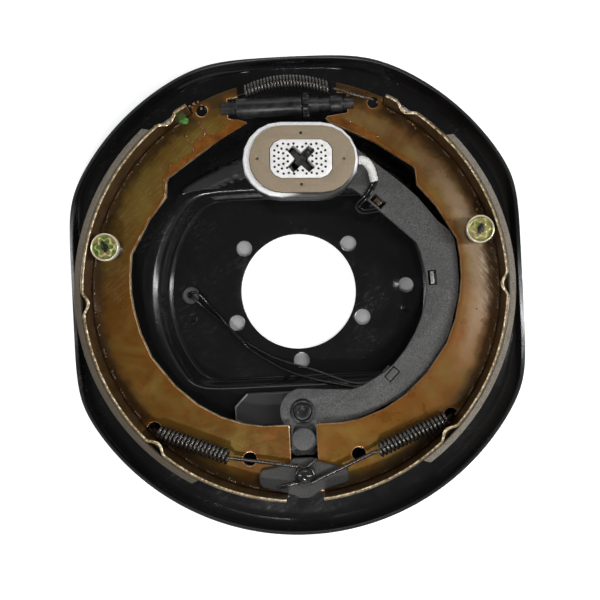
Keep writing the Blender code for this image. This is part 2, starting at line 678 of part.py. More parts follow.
def adjuster(dark):
    """Nut, star-wheel screw and socket between the upper ends of the shoes. Their axis runs along X."""
    along_x = (0, math.pi / 2, 0)
    centre = (0, ADJUSTER_Y, WEB_MID_Z)
    slot_depth = ADJUSTER_FORK_END_X - WEB_NOTCH_X + GAP
    slot = (2 * slot_depth, 4 * ADJUSTER_R, WEB_THICKNESS + 2 * GAP)

    fork_end = -ADJUSTER_FORK_END_X
    shoulder = fork_end + ADJUSTER_FORK_LENGTH
    mouth = shoulder + ADJUSTER_NUT_LENGTH
    blind = mouth - 0.030
    profile = [(0.0, blind), (ADJUSTER_BORE_R, blind), (ADJUSTER_BORE_R, mouth), (ADJUSTER_R - 0.0006, mouth)]
    profile += [(ADJUSTER_R, mouth - 0.0008), (ADJUSTER_R, shoulder + 0.0006), (ADJUSTER_R - 0.0006, shoulder)]
    profile += [(ADJUSTER_FORK_R, shoulder), (ADJUSTER_FORK_R, fork_end), (0.0, fork_end)]
    nut = turned("adjuster_nut", profile, centre, along_x)
    boolean(nut, box_cutter("nut_slot", slot, (fork_end, ADJUSTER_Y, WEB_MID_Z)))
    add(nut, dark)

    star_low = mouth + GAP
    star_high = star_low + STAR_WIDTH
    body_end = star_high + SCREW_BODY_LENGTH
    neck_end = body_end + SCREW_NECK_LENGTH
    socket_low = neck_end + GAP
    socket_high = socket_low + SOCKET_LENGTH
    pin_r = 0.6 * SCREW_NECK_R
    thread_r = ADJUSTER_BORE_R - 2 * GAP
    profile = [(0.0, socket_high - 2 * GAP), (pin_r, socket_high - 2 * GAP), (pin_r, neck_end)]
    profile += [(SCREW_NECK_R, neck_end), (SCREW_NECK_R, body_end), (SCREW_BODY_R, body_end)]
    profile += [(SCREW_BODY_R, star_high - 0.0002), (STAR_ROOT_R - 0.001, star_high - 0.0002)]
    profile += [(STAR_ROOT_R - 0.001, star_low + 0.0002), (thread_r, star_low + 0.0002)]
    profile += [(thread_r, blind + 0.004), (thread_r - 0.001, blind + 0.003), (0.0, blind + 0.003)]
    screw_axis = empty("adjuster_axis", centre)
    screw = turned("adjuster_screw", profile, centre, along_x)
    teeth = []
    for tooth in range(STAR_TEETH):
        middle = 360 * tooth / STAR_TEETH
        quarter = 90 / STAR_TEETH
        teeth += [polar(STAR_ROOT_R, middle - 1.6 * quarter), polar(STAR_TIP_R, middle - 0.9 * quarter)]
        teeth += [polar(STAR_TIP_R, middle + 0.9 * quarter), polar(STAR_ROOT_R, middle + 1.6 * quarter)]
    star = flat_piece("star_form", teeth, star_low, star_high)
    star.matrix_world = Matrix.Translation(centre) @ Matrix.Rotation(math.pi / 2, 4, "Y") @ star.matrix_world
    boolean(screw, add(star, helper=True), "UNION")
    add(screw, dark, screw_axis)

    fork = ADJUSTER_FORK_END_X
    profile = [(0.0, fork), (ADJUSTER_FORK_R, fork), (ADJUSTER_FORK_R, socket_high + 0.0012)]
    profile += [(SOCKET_R, socket_high), (SOCKET_R, socket_low), (pin_r + GAP, socket_low)]
    profile += [(pin_r + GAP, socket_high - GAP), (0.0, socket_high - GAP)]
    socket = turned("adjuster_socket", profile, centre, along_x)
    boolean(socket, box_cutter("socket_slot", slot, (fork, ADJUSTER_Y, WEB_MID_Z)))
    add(socket, dark)


def adjuster_spring(finish):
    """An arched coil over the adjuster. One end hooks the right web from the front, the other the left from behind."""
    lie = WEB_MID_Z + 0.001
    start, end = Vector((-0.0300, 0.1416, lie)), Vector((0.0298, 0.1416, lie))
    front = WEB_HIGH_Z + ADJUST_WIRE_R + GAP
    behind = WEB_LOW_Z - ADJUST_WIRE_R - GAP
    left = [(-0.0612, 0.1318, WEB_MID_Z), (-0.0600, 0.1322, behind), (-0.0520, 0.1352, behind)]
    left += [(-0.0420, 0.1384, behind), (-0.0345, 0.1406, behind)]
    right = [(0.0345, 0.1406, front), (0.0420, 0.1379, front), (0.0520, 0.1345, front)]
    right += [(0.0600, 0.1320, front), (0.0612, 0.1316, WEB_MID_Z)]
    turns = coil(start, end, ADJUST_COIL_R, ADJUST_TURNS, 6, (0, 0, -1), bow=0.0062)
    wire("adjuster_spring", [Vector(p) for p in left] + turns + [Vector(p) for p in right], ADJUST_WIRE_R, finish)


def hold_down(side, steel, black, zinc):
    """Pin from behind the plate, coil spring on the web, and the cup that the pin's flat end locks."""
    flip = 1 if side == "right" else -1
    at = (flip * HOLD_DOWN[0], HOLD_DOWN[1])
    spring_low = WEB_HIGH_Z + GAP
    spring_high = spring_low + HOLD_SPRING_HEIGHT
    floor = spring_high + GAP
    boss = floor + HOLD_CUP_WALL + 0.0012
    rim = floor + 0.0030
    skirt = rim - HOLD_CUP_HEIGHT
    blade_low = boss + GAP

    head = PAN_DEPTH - GAP
    profile = [(0.0, blade_low + 0.0008), (HOLD_PIN_R, blade_low + 0.0008), (HOLD_PIN_R, head)]
    profile += [(HOLD_PIN_HEAD_R, head), (0.8 * HOLD_PIN_HEAD_R, head - 0.0015), (0.0, head - 0.0015)]
    pin = turned(f"{side}_hold_down_pin", profile, (*at, 0), steps=16)
    blade = box_cutter(f"{side}_blade_form", (0.0074, 0.0022, 0.0019), (*at, blade_low + 0.00095), 70 * flip)
    add(boolean(pin, blade, "UNION"), steel)

    low, high = spring_low + HOLD_WIRE_R, spring_high - HOLD_WIRE_R
    turns = HOLD_TURNS + 1
    points = []
    for i in range(turns * 7 + 1):
        turn = i / 7
        rise = min(max((turn - 0.5) / (turns - 1), 0.0), 1.0)
        points.append((*polar(HOLD_COIL_R, 360 * turn, at), low + (high - low) * rise))
    wire(f"{side}_hold_down_spring", points, HOLD_WIRE_R, black)

    inner = HOLD_CUP_R - HOLD_CUP_WALL
    slide = empty(f"{side}_cup_slide", (*at, floor))
    profile = [(HOLD_PIN_R + 2 * GAP, boss), (0.0046, boss), (0.0058, floor + HOLD_CUP_WALL)]
    profile += [(inner - 0.0008, floor + HOLD_CUP_WALL), (inner - 0.0002, rim), (HOLD_CUP_R, rim)]
    profile += [(HOLD_CUP_R, skirt), (inner, skirt), (inner, floor), (HOLD_PIN_R + 2 * GAP, floor)]
    add(turned(f"{side}_hold_down_cup", profile, (*at, 0), ring=True, steps=24), zinc, slide)


def lever_arm(grey, steel, lever):
    """The stamped lever from the pivot round the axle hole to the magnet, with three lanced lead clips."""
    pivot = (0.0, PIVOT_Y)
    end_r = 0.0135
    outline = arc(LEVER_BOSS_R, 235, 98, 12, pivot)
    outline += [(0.0359, -0.0738), (0.0440, -0.0715), (0.0518, -0.0672), (0.0600, -0.0625), (0.0678, -0.0565)]
    outline += [(0.0765, -0.0462), (0.0837, -0.0350), (0.0888, -0.0240), (0.0922, -0.0130), (0.0934, -0.0023)]
    outline += [(0.0932, 0.0060), (0.0921, 0.0137), (0.0904, 0.0225), (0.0879, 0.0298), (0.0524, 0.0634)]
    outline += [(0.0440, 0.0705), (0.0250, 0.0752)]
    outline += arc(end_r, 262, 100, 10, MAGNET_AT)
    outline += [(0.0300, 0.1020), (0.0480, 0.0990), (0.0596, 0.0893), (0.0790, 0.0728), (0.0900, 0.0621)]
    outline += [(0.1035, 0.0445), (0.1120, 0.0368), (0.1152, 0.0297), (0.1164, 0.0170), (0.1167, 0.0030)]
    outline += [(0.1156, -0.0100), (0.1123, -0.0220), (0.1085, -0.0352), (0.1030, -0.0473), (0.0950, -0.0595)]
    outline += [(0.0855, -0.0697), (0.0785, -0.0760), (0.0702, -0.0812), (0.0473, -0.0915), (0.0348, -0.0955)]
    outline += [(0.0230, -0.0972), (0.0096, -0.0998), (0.0092, BLOCK_Y - 0.0102), (0.0070, BLOCK_Y - 0.0122)]
    outline += [(-0.0070, BLOCK_Y - 0.0122), (-0.0092, BLOCK_Y - 0.0102)]
    holes = [circle(LEVER_HOLE_R, pivot, 24), circle(POST_R + GAP, MAGNET_AT, 16)]
    holes.append(circle(0.0042 + GAP, (0.0, BLOCK_Y), 16))
    arm = flat_piece("lever_arm", outline, LEVER_LOW_Z, LEVER_HIGH_Z, holes)

    drop, plate, reach = CLIP_DROP, CLIP_THICKNESS, CLIP_REACH
    top = LEVER_THICKNESS / 2
    hook = [(-reach, -drop), (plate / 2, -drop), (plate / 2, top), (-plate / 2, top)]
    hook += [(-plate / 2, plate - drop), (-reach, plate - drop)]
    for number, (x, y, turn) in enumerate(LEVER_CLIPS):
        out_x, out_y = polar(1.0, turn - 90)
        window = (LEVER_CLIP_SIZE[0], LEVER_CLIP_SIZE[1], 4 * LEVER_THICKNESS)
        boolean(arm, box_cutter(f"clip_window_{number}", window, (x, y, LEVER_LOW_Z), turn))
        clip = flat_piece(f"clip_form_{number}", hook, -0.3 * LEVER_CLIP_SIZE[0], 0.3 * LEVER_CLIP_SIZE[0])
        half = LEVER_CLIP_SIZE[1] / 2
        clip.matrix_world = Matrix((
            (out_x, 0, out_y, x + half * out_x),
            (out_y, 0, -out_x, y + half * out_y),
            (0, 1, 0, LEVER_LOW_Z),
            (0, 0, 0, 1),
        ))
        boolean(arm, add(clip, helper=True), "UNION")
    add(arm, grey, lever)

    low, high = LEVER_LOW_Z, LEVER_HIGH_Z + GAP
    outer = LEVER_HOLE_R - GAP
    bore = STUD_R + 0.00025
    flange_high = high + 0.0011
    profile = [(bore, flange_high), (LEVER_HOLE_R + 0.0011, flange_high), (LEVER_HOLE_R + 0.0014, high)]
    profile += [(outer, high), (outer, low), (bore, low)]
    add(turned("lever_bushing", profile, (0, PIVOT_Y, 0), ring=True), steel, lever)

    top = WEB_HIGH_Z + BLOCK_ABOVE_WEB
    seat = LEVER_HIGH_Z + GAP
    profile = [(0.0, top), (BLOCK_R - 0.0008, top), (BLOCK_R, top - 0.0008), (BLOCK_R, seat)]
    profile += [(0.0042, seat), (0.0042, LEVER_LOW_Z - GAP), (0.0058, LEVER_LOW_Z - GAP)]
    profile += [(0.0048, LEVER_LOW_Z - 0.0022), (0.0, LEVER_LOW_Z - 0.0022)]
    add(turned("actuating_pin", profile, (0, BLOCK_Y, 0), steps=28), grey, lever)


def magnet(finishes, lever, slide):
    """The oval electromagnet: case, coil, perforated core and friction face, sprung on the lever's post."""
    lean = slide.matrix_world

    def leaning(obj):
        obj.matrix_world = lean @ obj.matrix_world
        return obj

    lip_top = CASE_HEIGHT
    sections = []
    for inset, height in (
        (0.0, 0.0), (0.0, lip_top - CASE_SHOULDER), (0.3 * CASE_SHOULDER, lip_top - 0.3 * CASE_SHOULDER),
        (CASE_SHOULDER, lip_top), (CASE_LIP, lip_top), (CASE_LIP, lip_top - CASE_WALL),
        (CASE_WALL, lip_top - CASE_SHOULDER - CASE_WALL / 2), (CASE_WALL, CASE_WALL),
    ):
        shift = FACE_OFFSET if inset == CASE_LIP else 0.0
        rim = oval(MAGNET_LENGTH - 2 * inset, MAGNET_WIDTH - 2 * inset, 10)
        sections.append([(x + shift, y, height) for x, y in rim])
    case = leaning(loft("magnet_case", sections))
    hole_z = 0.45 * CASE_HEIGHT
    stud_hole = leaning(flat_piece("case_stud_hole", circle(CROSS_CENTRE_R + 0.0014), -CASE_WALL, 2 * CASE_WALL))
    boolean(case, add(stud_hole, helper=True))
    lead_hole = flat_piece("case_lead_hole", circle(SLEEVE_R), -2 * CASE_WALL, 2 * CASE_WALL)
    lead_hole.matrix_world = (
        Matrix.Translation((MAGNET_LENGTH / 2 - CASE_WALL / 2, 0.001, hole_z))
        @ Matrix.Rotation(math.pi / 2, 4, "Y")
        @ lead_hole.matrix_world
    )
    boolean(case, add(leaning(lead_hole), helper=True))
    add(case, finishes["case"], slide)

    inner_top = lip_top - CASE_WALL - GAP
    face_low = CASE_HEIGHT + FACE_PROUD - FACE_THICKNESS
    core_top = CASE_HEIGHT + FACE_PROUD + 0.0002
    half_x, half_y, corner = CORE_LENGTH / 2, CORE_WIDTH / 2, CORE_CHAMFER
    quarter = [(half_x, half_y - corner), (half_x - 0.45 * corner, half_y - 0.35 * corner), (half_x - 1.2 * corner, half_y)]
    core_outline = quarter + mirrored(quarter)
    core_outline += [(x, -y) for x, y in reversed(core_outline)]
    arm = CROSS_WIDTH / 2
    cross = []
    for turn in (45, 135, 225, 315):
        for along, side in ((CROSS_ARM, -arm), (CROSS_ARM, arm)):
            cross.append(turned_point(along, side, turn))
        cross.append(polar(CROSS_CENTRE_R, turn + 45))
    core = leaning(flat_piece("magnet_core", core_outline, CASE_WALL + GAP, core_top, [cross]))
    add(core, finishes["core"], slide)

    grow = 1 + 2 * GAP / CORE_WIDTH
    window = [(grow * x - FACE_OFFSET, grow * y) for x, y in core_outline]
    face_size = (MAGNET_LENGTH - 2 * CASE_LIP - 2 * GAP, MAGNET_WIDTH - 2 * CASE_LIP - 2 * GAP)
    dimples = [circle(0.0011, at, 8) for at in ((0.0294, 0), (-0.0302, 0), (0, 0.0178), (0, -0.0178))]
    face = flat_piece("magnet_face", oval(*face_size, 10), face_low, core_top - 0.0002, [window])
    face.matrix_world = lean @ Matrix.Translation((FACE_OFFSET, 0, 0)) @ face.matrix_world
    for number, dimple in enumerate(dimples):
        drill = flat_piece(f"face_dimple_{number}", dimple, core_top - 0.0016, core_top + 0.002)
        boolean(face, add(leaning(drill), helper=True))
    add(face, finishes["face"], slide)

    bobbin = oval(MAGNET_LENGTH - 2 * CASE_WALL - 0.003, MAGNET_WIDTH - 2 * CASE_WALL - 0.003, 10)
    around = [(x * grow, y * grow) for x, y in core_outline]
    winding = flat_piece("magnet_coil", bobbin, CASE_WALL + GAP, face_low - GAP, [around])
    add(leaning(winding), finishes["coil"], slide)

    post_top = MAGNET_BASE_Z + 0.009
    profile = [(0.0, post_top), (POST_R - 0.0006, post_top), (POST_R, post_top - 0.0006)]
    profile += [(POST_R, LEVER_LOW_Z - GAP), (0.0062, LEVER_LOW_Z - GAP), (0.005, LEVER_LOW_Z - 0.002)]
    profile.append((0.0, LEVER_LOW_Z - 0.002))
    add(turned("magnet_post", profile, (*MAGNET_AT, 0), steps=16), finishes["steel"], lever)

    clip_low, clip_high = 0.0095, 0.0125
    half, width, lug, lug_width = 0.0086, 0.0021, 0.0024, 0.0040
    ends = [(half, -width), (half, width), (lug, width), (lug, lug_width), (-lug, lug_width), (-lug, width)]
    ends += [(-half, width), (-half, -width), (-lug, -width), (-lug, -lug_width), (lug, -lug_width), (lug, -width)]
    clip_outline = [turned_point(x, y, -45) for x, y in ends]
    add(leaning(flat_piece("magnet_clip", clip_outline, clip_low, clip_high)), finishes["steel"], lever)

    low = LEVER_HIGH_Z + GAP + MAGNET_WIRE_R
    high = MAGNET_BASE_Z - MAGNET_COIL_R * math.sin(math.radians(MAGNET_TILT_DEG)) - 2 * MAGNET_WIRE_R
    start, end = (*MAGNET_AT, low), (*MAGNET_AT, high)
    turns = coil(start, end, MAGNET_COIL_R, MAGNET_TURNS, 9, (0, 1, 0))
    wire("magnet_spring", turns, MAGNET_WIRE_R, finishes["spring"], lever)


def turned_point(x, y, degrees):
    turn = math.radians(degrees)
    return (x * math.cos(turn) - y * math.sin(turn), x * math.sin(turn) + y * math.cos(turn))


# Route of both leads from the magnet, over the lever's inner edge and back under it through its clips
LEAD_Z = LEVER_LOW_Z - LEAD_R - 1.5 * GAP
OVER_Z = LEVER_HIGH_Z + LEAD_R + GAP
FLOOR_Z = SHEET + LEAD_R + GAP
SLEEVE_ROUTE = (
    (0.0482, 0.0884, 0.0520), (0.0512, 0.0884, 0.0512), (0.0545, 0.0868, 0.0478),
    (0.0574, 0.0825, LEVER_HIGH_Z + 0.0056), (0.0594, 0.0745, LEVER_HIGH_Z + SLEEVE_R + 2 * GAP),
)
EDGE_ROUTE = (
    (0.0572, 0.0698, OVER_Z + 0.0008), (0.0540, 0.0648, OVER_Z + 0.0008), (0.0502, 0.0616, LEVER_HIGH_Z + 0.0004),
    (0.0474, 0.0590, LEVER_LOW_Z + 0.0030), (0.0480, 0.0560, LEVER_LOW_Z - 0.0008), (0.0535, 0.0546, LEAD_Z - 0.0003),
)
LEADS_UNDER_LEVER = 0.0032
LEVER_ROUTE = (
    (0.0640, 0.0530), (0.0720, 0.0470), (0.0820, 0.0375), (0.0890, 0.0265), (0.0918, 0.0140), (0.0926, 0.0010),
    (0.0917, -0.0120), (0.0885, -0.0235), (0.0835, -0.0340), (0.0765, -0.0450), (0.0675, -0.0550),
    (0.0590, -0.0625), (0.0520, -0.0672),
)
PAN_ROUTES = {
    "inner_lead": (
        (0.0391, -0.0700, 0.0262), (0.0257, -0.0659, 0.0200), (0.0109, -0.0602, 0.0135), (-0.0040, -0.0556, 0.0082),
        (-0.0188, -0.0503, FLOOR_Z + 0.0010), (-0.0283, -0.0453, FLOOR_Z), (-0.0422, -0.0363, FLOOR_Z),
        (-0.0494, -0.0291, FLOOR_Z), (-0.0617, -0.0186, FLOOR_Z), (-0.0732, -0.0075, FLOOR_Z + 0.0004),
        (-0.0784, -0.0024, FLOOR_Z + 0.0034),
    ),
    "outer_lead": (
        (0.0430, -0.0722, 0.0262), (0.0360, -0.0722, 0.0230), (0.0105, -0.0670, 0.0128), (-0.0091, -0.0606, 0.0075),
        (-0.0242, -0.0523, FLOOR_Z + 0.0006), (-0.0387, -0.0417, FLOOR_Z + 0.0012),
        (-0.0447, -0.0352, FLOOR_Z + 0.0023), (-0.0501, -0.0291, FLOOR_Z + 0.0025),
        (-0.0547, -0.0231, FLOOR_Z + 0.0023), (-0.0593, -0.0172, FLOOR_Z + 0.0010),
        (-0.0679, -0.0070, FLOOR_Z + 0.0004), (-0.0758, 0.0022, FLOOR_Z + 0.0034),
    ),
}


def beside(route, distance):
    """The same route, moved sideways by a distance."""
    moved = []
    for i, (x, y, z) in enumerate(route):
        a, b = route[max(i - 1, 0)], route[min(i + 1, len(route) - 1)]
        ahead = Vector((b[0] - a[0], b[1] - a[1])).normalized()
        moved.append((x + ahead.y * distance, y - ahead.x * distance, z))
    return moved


def tube_mesh(name, points, radius):
    """The tube round a route as a mesh, ready for a Boolean."""
    drawn = wire(name, points, radius, None, resolution=2)
    bpy.context.view_layer.update()
    evaluated = drawn.evaluated_get(bpy.context.evaluated_depsgraph_get())
    mesh = bpy.data.meshes.new_from_object(evaluated)
    built = bmesh.new()
    built.from_mesh(mesh)
    bmesh.ops.remove_doubles(built, verts=built.verts, dist=1e-6)
    bmesh.ops.recalc_face_normals(built, faces=built.faces)
    built.to_mesh(mesh)
    built.free()
    bpy.data.objects.remove(drawn)
    return bpy.data.objects.new(name, mesh)


def leads(black, white, lever):
    middle = smooth_path(SLEEVE_ROUTE, 4)
    first = middle[0] - (middle[1] - middle[0]).normalized() * SLEEVE_R
    last = middle[-1] + (middle[-1] - middle[-2]).normalized() * SLEEVE_R
    sleeve = tube_mesh("lead_sleeve", middle, SLEEVE_R)
    bore = tube_mesh("sleeve_bore", [first] + middle[1:-1] + [last], SLEEVE_BORE_R)
    boolean(sleeve, add(bore, helper=True))
    add(sleeve, white, lever)

    under = beside([(x, y, LEAD_Z) for x, y in LEVER_ROUTE], -LEADS_UNDER_LEVER)
    inside_case = (SLEEVE_ROUTE[0][0] - 0.0034, SLEEVE_ROUTE[0][1], SLEEVE_ROUTE[0][2])
    shared = [inside_case, *SLEEVE_ROUTE, *EDGE_ROUTE, *under]
    for across, (name, pan) in zip((1, -1), PAN_ROUTES.items()):
        offset = 1.18 * LEAD_R * across
        drop = (-SIDE_HOLE[0], SIDE_HOLE[1] - offset)
        route = beside(shared, offset) + list(pan)
        route += [(*drop, SHEET + 0.0032), (*drop, 0.0010)]
        wire(name, smooth_path(route, 2), LEAD_R, black, lever, resolution=2)


def build():
    clear_scene()
    black = material("plate_black", (0.012, 0.012, 0.013), 0.32, 0.0)
    rubber = material("black_rubber", (0.02, 0.02, 0.02), 0.7, 0.0)
    steel = material("dark_steel", (0.12, 0.12, 0.12), 0.35, 0.9)
    phosphate = material("lever_grey", (0.14, 0.14, 0.135), 0.55, 0.5)
    retainer = material("retainer_grey", (0.07, 0.07, 0.07), 0.5, 0.6)
    spring = material("spring_black", (0.015, 0.015, 0.016), 0.3, 0.6)
    zinc = material("yellow_zinc", (0.62, 0.55, 0.28), 0.25, 1.0)
    shoe = {
        "web": material("web_varnish", (0.30, 0.17, 0.05), 0.3, 0.4),
        "table": material("table_varnish", (0.10, 0.06, 0.03), 0.35, 0.4),
        "lining": material("lining_grey", (0.17, 0.15, 0.12), 0.85, 0.0),
    }
    magnet_finishes = {
        "case": material("case_zinc", (0.75, 0.76, 0.77), 0.3, 0.9),
        "face": material("friction_face", (0.36, 0.27, 0.18), 0.7, 0.0),
        "core": material("core_pale", (0.85, 0.85, 0.83), 0.35, 0.3),
        "coil": material("coil_winding", (0.30, 0.10, 0.04), 0.5, 0.2),
        "steel": steel,
        "spring": spring,
    }

    backing_plate(black)
    plug_and_grommet(rubber)
    bracket_and_posts(black, steel)
    shoe_retainer(retainer)
    for side, flip in (("left", -1), ("right", 1)):
        pivot = empty(f"{side}_shoe_pivot", (flip * WEB_NOTCH_X, ADJUSTER_Y, WEB_MID_Z))
        shoe_parts(side, shoe, pivot)
        retract_spring(side, spring)
        hold_down(side, steel, spring, zinc)
    adjuster(steel)
    adjuster_spring(spring)
    lever = empty("lever_pivot", (0, PIVOT_Y, LEVER_LOW_Z))
    lever_arm(phosphate, steel, lever)
    tilt = (0, math.radians(MAGNET_TILT_DEG), math.radians(MAGNET_TURN_DEG))
    slide = empty("magnet_slide", (*MAGNET_AT, MAGNET_BASE_Z), tilt)
    magnet(magnet_finishes, lever, slide)
    leads(rubber, material("sleeve_white", (0.82, 0.81, 0.77), 0.8, 0.0), lever)

    for obj in bpy.data.objects:
        if not obj.parent:
            obj.location.y += CENTRE_SHIFT


PARTS = new_collection("trailer_brake")
CUTTERS = new_collection("cutters")
build()
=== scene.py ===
# %% [markdown]
# # Electric trailer brake
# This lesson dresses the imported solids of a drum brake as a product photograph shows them.
# The solids set every size and place. Blender adds what a solid model leaves out: rolled and softened
# edges, wound springs, weld beads, and finishes with grain, runs and wear.

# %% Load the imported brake
import json
import math
import random

import bmesh
import bpy
import numpy as np
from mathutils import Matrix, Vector, noise

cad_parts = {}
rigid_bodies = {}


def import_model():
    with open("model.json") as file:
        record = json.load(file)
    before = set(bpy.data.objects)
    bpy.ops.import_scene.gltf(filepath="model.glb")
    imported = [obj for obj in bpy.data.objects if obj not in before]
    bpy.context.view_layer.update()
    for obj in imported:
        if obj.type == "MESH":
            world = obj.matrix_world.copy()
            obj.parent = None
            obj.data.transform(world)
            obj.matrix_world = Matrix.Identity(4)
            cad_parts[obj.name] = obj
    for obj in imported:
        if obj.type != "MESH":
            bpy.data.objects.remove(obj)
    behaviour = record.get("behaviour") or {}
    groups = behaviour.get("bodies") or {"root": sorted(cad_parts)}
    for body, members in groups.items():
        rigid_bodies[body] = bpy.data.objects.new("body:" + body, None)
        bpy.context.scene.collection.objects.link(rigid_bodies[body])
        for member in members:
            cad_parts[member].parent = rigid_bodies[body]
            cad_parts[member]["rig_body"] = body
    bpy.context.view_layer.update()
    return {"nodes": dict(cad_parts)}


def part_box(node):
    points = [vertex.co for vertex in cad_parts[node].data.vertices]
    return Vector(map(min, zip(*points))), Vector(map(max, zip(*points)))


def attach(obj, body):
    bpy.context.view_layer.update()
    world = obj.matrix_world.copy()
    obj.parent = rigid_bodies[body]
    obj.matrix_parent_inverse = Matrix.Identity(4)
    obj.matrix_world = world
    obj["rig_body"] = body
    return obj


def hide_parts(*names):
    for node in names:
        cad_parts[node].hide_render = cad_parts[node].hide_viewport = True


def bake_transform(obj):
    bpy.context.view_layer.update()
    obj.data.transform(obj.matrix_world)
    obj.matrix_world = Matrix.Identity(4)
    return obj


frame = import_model()
nodes = frame["nodes"]
pivot_low, pivot_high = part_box("lever_bushing")
AXLE = Vector((0.0, (pivot_low[1] + pivot_high[1]) / 2 + 0.0874, 0.0))
TOP = {name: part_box(name)[1][2] for name in nodes}
FOOT = {name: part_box(name)[0][2] for name in nodes}
WEB_TOP = TOP["left_shoe_web"]

# %% [markdown]
# ## Camera
# The photograph looks straight down on the brake from about 0.69 m, turned by less than three degrees,
# and framed a little off centre. A lens shift moves the frame without tilting the view.

# %% Camera over the brake
camera_data = bpy.data.cameras.new("camera")
camera_data.lens = 54.3
camera_data.shift_x = -0.0533
camera_data.shift_y = 0.0367
camera = bpy.data.objects.new("camera", camera_data)
camera.location = (0.0242, AXLE.y - 0.0245, 0.6888)
camera.rotation_euler = (0, 0, math.radians(-2.8))
bpy.context.scene.collection.objects.link(camera)
bpy.context.scene.camera = camera
bpy.context.scene.view_settings.view_transform = "Standard"
print("camera", tuple(camera.location))

# %% [markdown]
# ## Tools for finishes
# A finish is one Principled shader with a few patterns in front of it. These helpers keep each
# pattern to one line: grain from noise, a ramp that turns grain into colour, and bump.

# %% Helpers for finishes
finishes = {}


def rgba(value):
    """A colour from three numbers, or a grey from one."""
    return (*value, 1) if hasattr(value, "__len__") else (value, value, value, 1)


class Finish:
    """A material under construction. Patterns follow the piece, on its own coordinates in metres."""

    def __init__(self, key, name, colour, roughness, metallic=0.0, **sockets):
        self.material = finishes[key] = bpy.data.materials.new(name)
        self.material.use_nodes = True
        self.tree = self.material.node_tree
        self.shader = self.tree.nodes["Principled BSDF"]
        self.set("Base Color", rgba(colour))
        for socket, value in {"Roughness": roughness, "Metallic": metallic, **sockets}.items():
            self.set(socket.replace("_", " "), value)
        self.place = self.node("TexCoord").outputs["Object"]

    def set(self, socket, value):
        self.shader.inputs[socket].default_value = value

    def join(self, source, socket):
        self.tree.links.new(source, self.shader.inputs[socket])

    def colour(self, source):
        self.join(source, "Base Color")

    def rough(self, source):
        self.join(source, "Roughness")

    def node(self, kind, sockets=None, **settings):
        """A new node. Its sockets take plain values, or the outputs of other nodes."""
        made = self.tree.nodes.new("ShaderNode" + kind)
        for name, value in settings.items():
            setattr(made, name, value)
        for socket, value in (sockets or {}).items():
            if hasattr(value, "links"):
                self.tree.links.new(value, made.inputs[socket])
            else:
                made.inputs[socket].default_value = value
        return made

    def mapped(self, move=(0, 0, 0), stretch=(1, 1, 1)):
        return self.node("Mapping", {0: self.place, "Location": move, "Scale": stretch}).outputs[0]

    def streaked(self, turn, long):
        """Coordinates that draw a pattern out by a factor along one direction."""
        sockets = {0: self.place, "Rotation": (0, 0, turn), "Scale": (long, 1, 1)}
        return self.node("Mapping", sockets, vector_type="TEXTURE").outputs[0]

    def grain(self, per_metre, detail=3.0, rough=0.5, place=None, distort=0.0):
        sockets = {"Vector": place or self.place, "Scale": per_metre, "Detail": detail,
                   "Roughness": rough, "Distortion": distort}
        return self.node("TexNoise", sockets).outputs["Fac"]

    def ramp(self, source, *stops, hard=False):
        """Stops are (position, grey or colour)."""
        node = self.node("ValToRGB", {0: source})
        bar = node.color_ramp
        if hard:
            bar.interpolation = "CONSTANT"
        while len(bar.elements) < len(stops):
            bar.elements.new(0.5)
        for element, (position, value) in zip(bar.elements, stops):
            element.position = position
            element.color = rgba(value)
        return node.outputs[0]

    def mix(self, factor, first, second):
        first, second = (v if hasattr(v, "links") else rgba(v) for v in (first, second))
        return self.node("Mix", {0: factor, 6: first, 7: second}, data_type="RGBA").outputs[2]

    def math(self, operation, first, second=0.0):
        return self.node("Math", {0: first, 1: second}, operation=operation).outputs[0]

    def times(self, first, second):
        return self.math("MULTIPLY", first, second)

    def plus(self, first, second):
        return self.math("ADD", first, second)

    def span(self, source, low, high, new_low=0.0, new_high=1.0):
        sockets = {"Value": source, "From Min": low, "From Max": high, "To Min": new_low, "To Max": new_high}
        return self.node("MapRange", sockets).outputs[0]

    def attribute(self, name):
        return self.node("Attribute", attribute_name=name).outputs["Fac"]

    def axis(self, letter):
        return self.node("SeparateXYZ", {0: self.place}).outputs[letter]

    def from_axle(self):
        """Distance from the axle's axis, in metres."""
        centred = self.mapped(move=(0, -AXLE.y, 0))
        flat = self.node("VectorMath", {0: centred, 1: (1, 1, 0)}, operation="MULTIPLY")
        return self.node("VectorMath", {0: flat.outputs[0]}, operation="LENGTH").outputs["Value"]

    def bump(self, source, height, strength=1.0, after=None):
        sockets = {"Height": source, "Distance": height, "Strength": strength}
        if after:
            sockets["Normal"] = after
        made = self.node("Bump", sockets).outputs[0]
        self.join(made, "Normal")
        return made


# %% [markdown]
# ## Floor and light
# The brake lies on a white table. Its black enamel stays black from above because nothing bright hangs
# over it: long soft boxes stand round the table instead, and each sloping wall mirrors one of them.
# The table is painted darker in a ring under the plate, a painted shade, and it is bright again where
# it shows through the axle hole.

# %% White table
FLOOR_Z = -0.0004
bpy.ops.object.select_all(action="DESELECT")
bpy.ops.mesh.primitive_circle_add(vertices=96, radius=6, fill_type="NGON", location=(0, 0, FLOOR_Z))
table_top = bpy.context.object
table_top.name = "table_top"
white = Finish("floor", "white_table", 0.86, 0.9)
white.set("Emission Color", (1, 1, 1, 1))
rays = white.node("LightPath").outputs
seen = white.math("MAXIMUM", rays["Is Camera Ray"], rays["Is Transmission Ray"])
out = white.node("VectorMath", {0: white.place, 1: (0, AXLE.y, FLOOR_Z)}, operation="DISTANCE")
# Painted shade: the table darker in a ring under the plate, which shows through the bolt holes.
ring = white.ramp(out.outputs["Value"], (0.0, 1.0), (0.0455, 0.02), (0.12, 1.0), hard=True)
white.colour(white.span(ring, 0, 1, 0.40, 0.86))
white.join(white.times(white.times(seen, ring), 0.55), "Emission Strength")
table_top.data.materials.append(white.material)

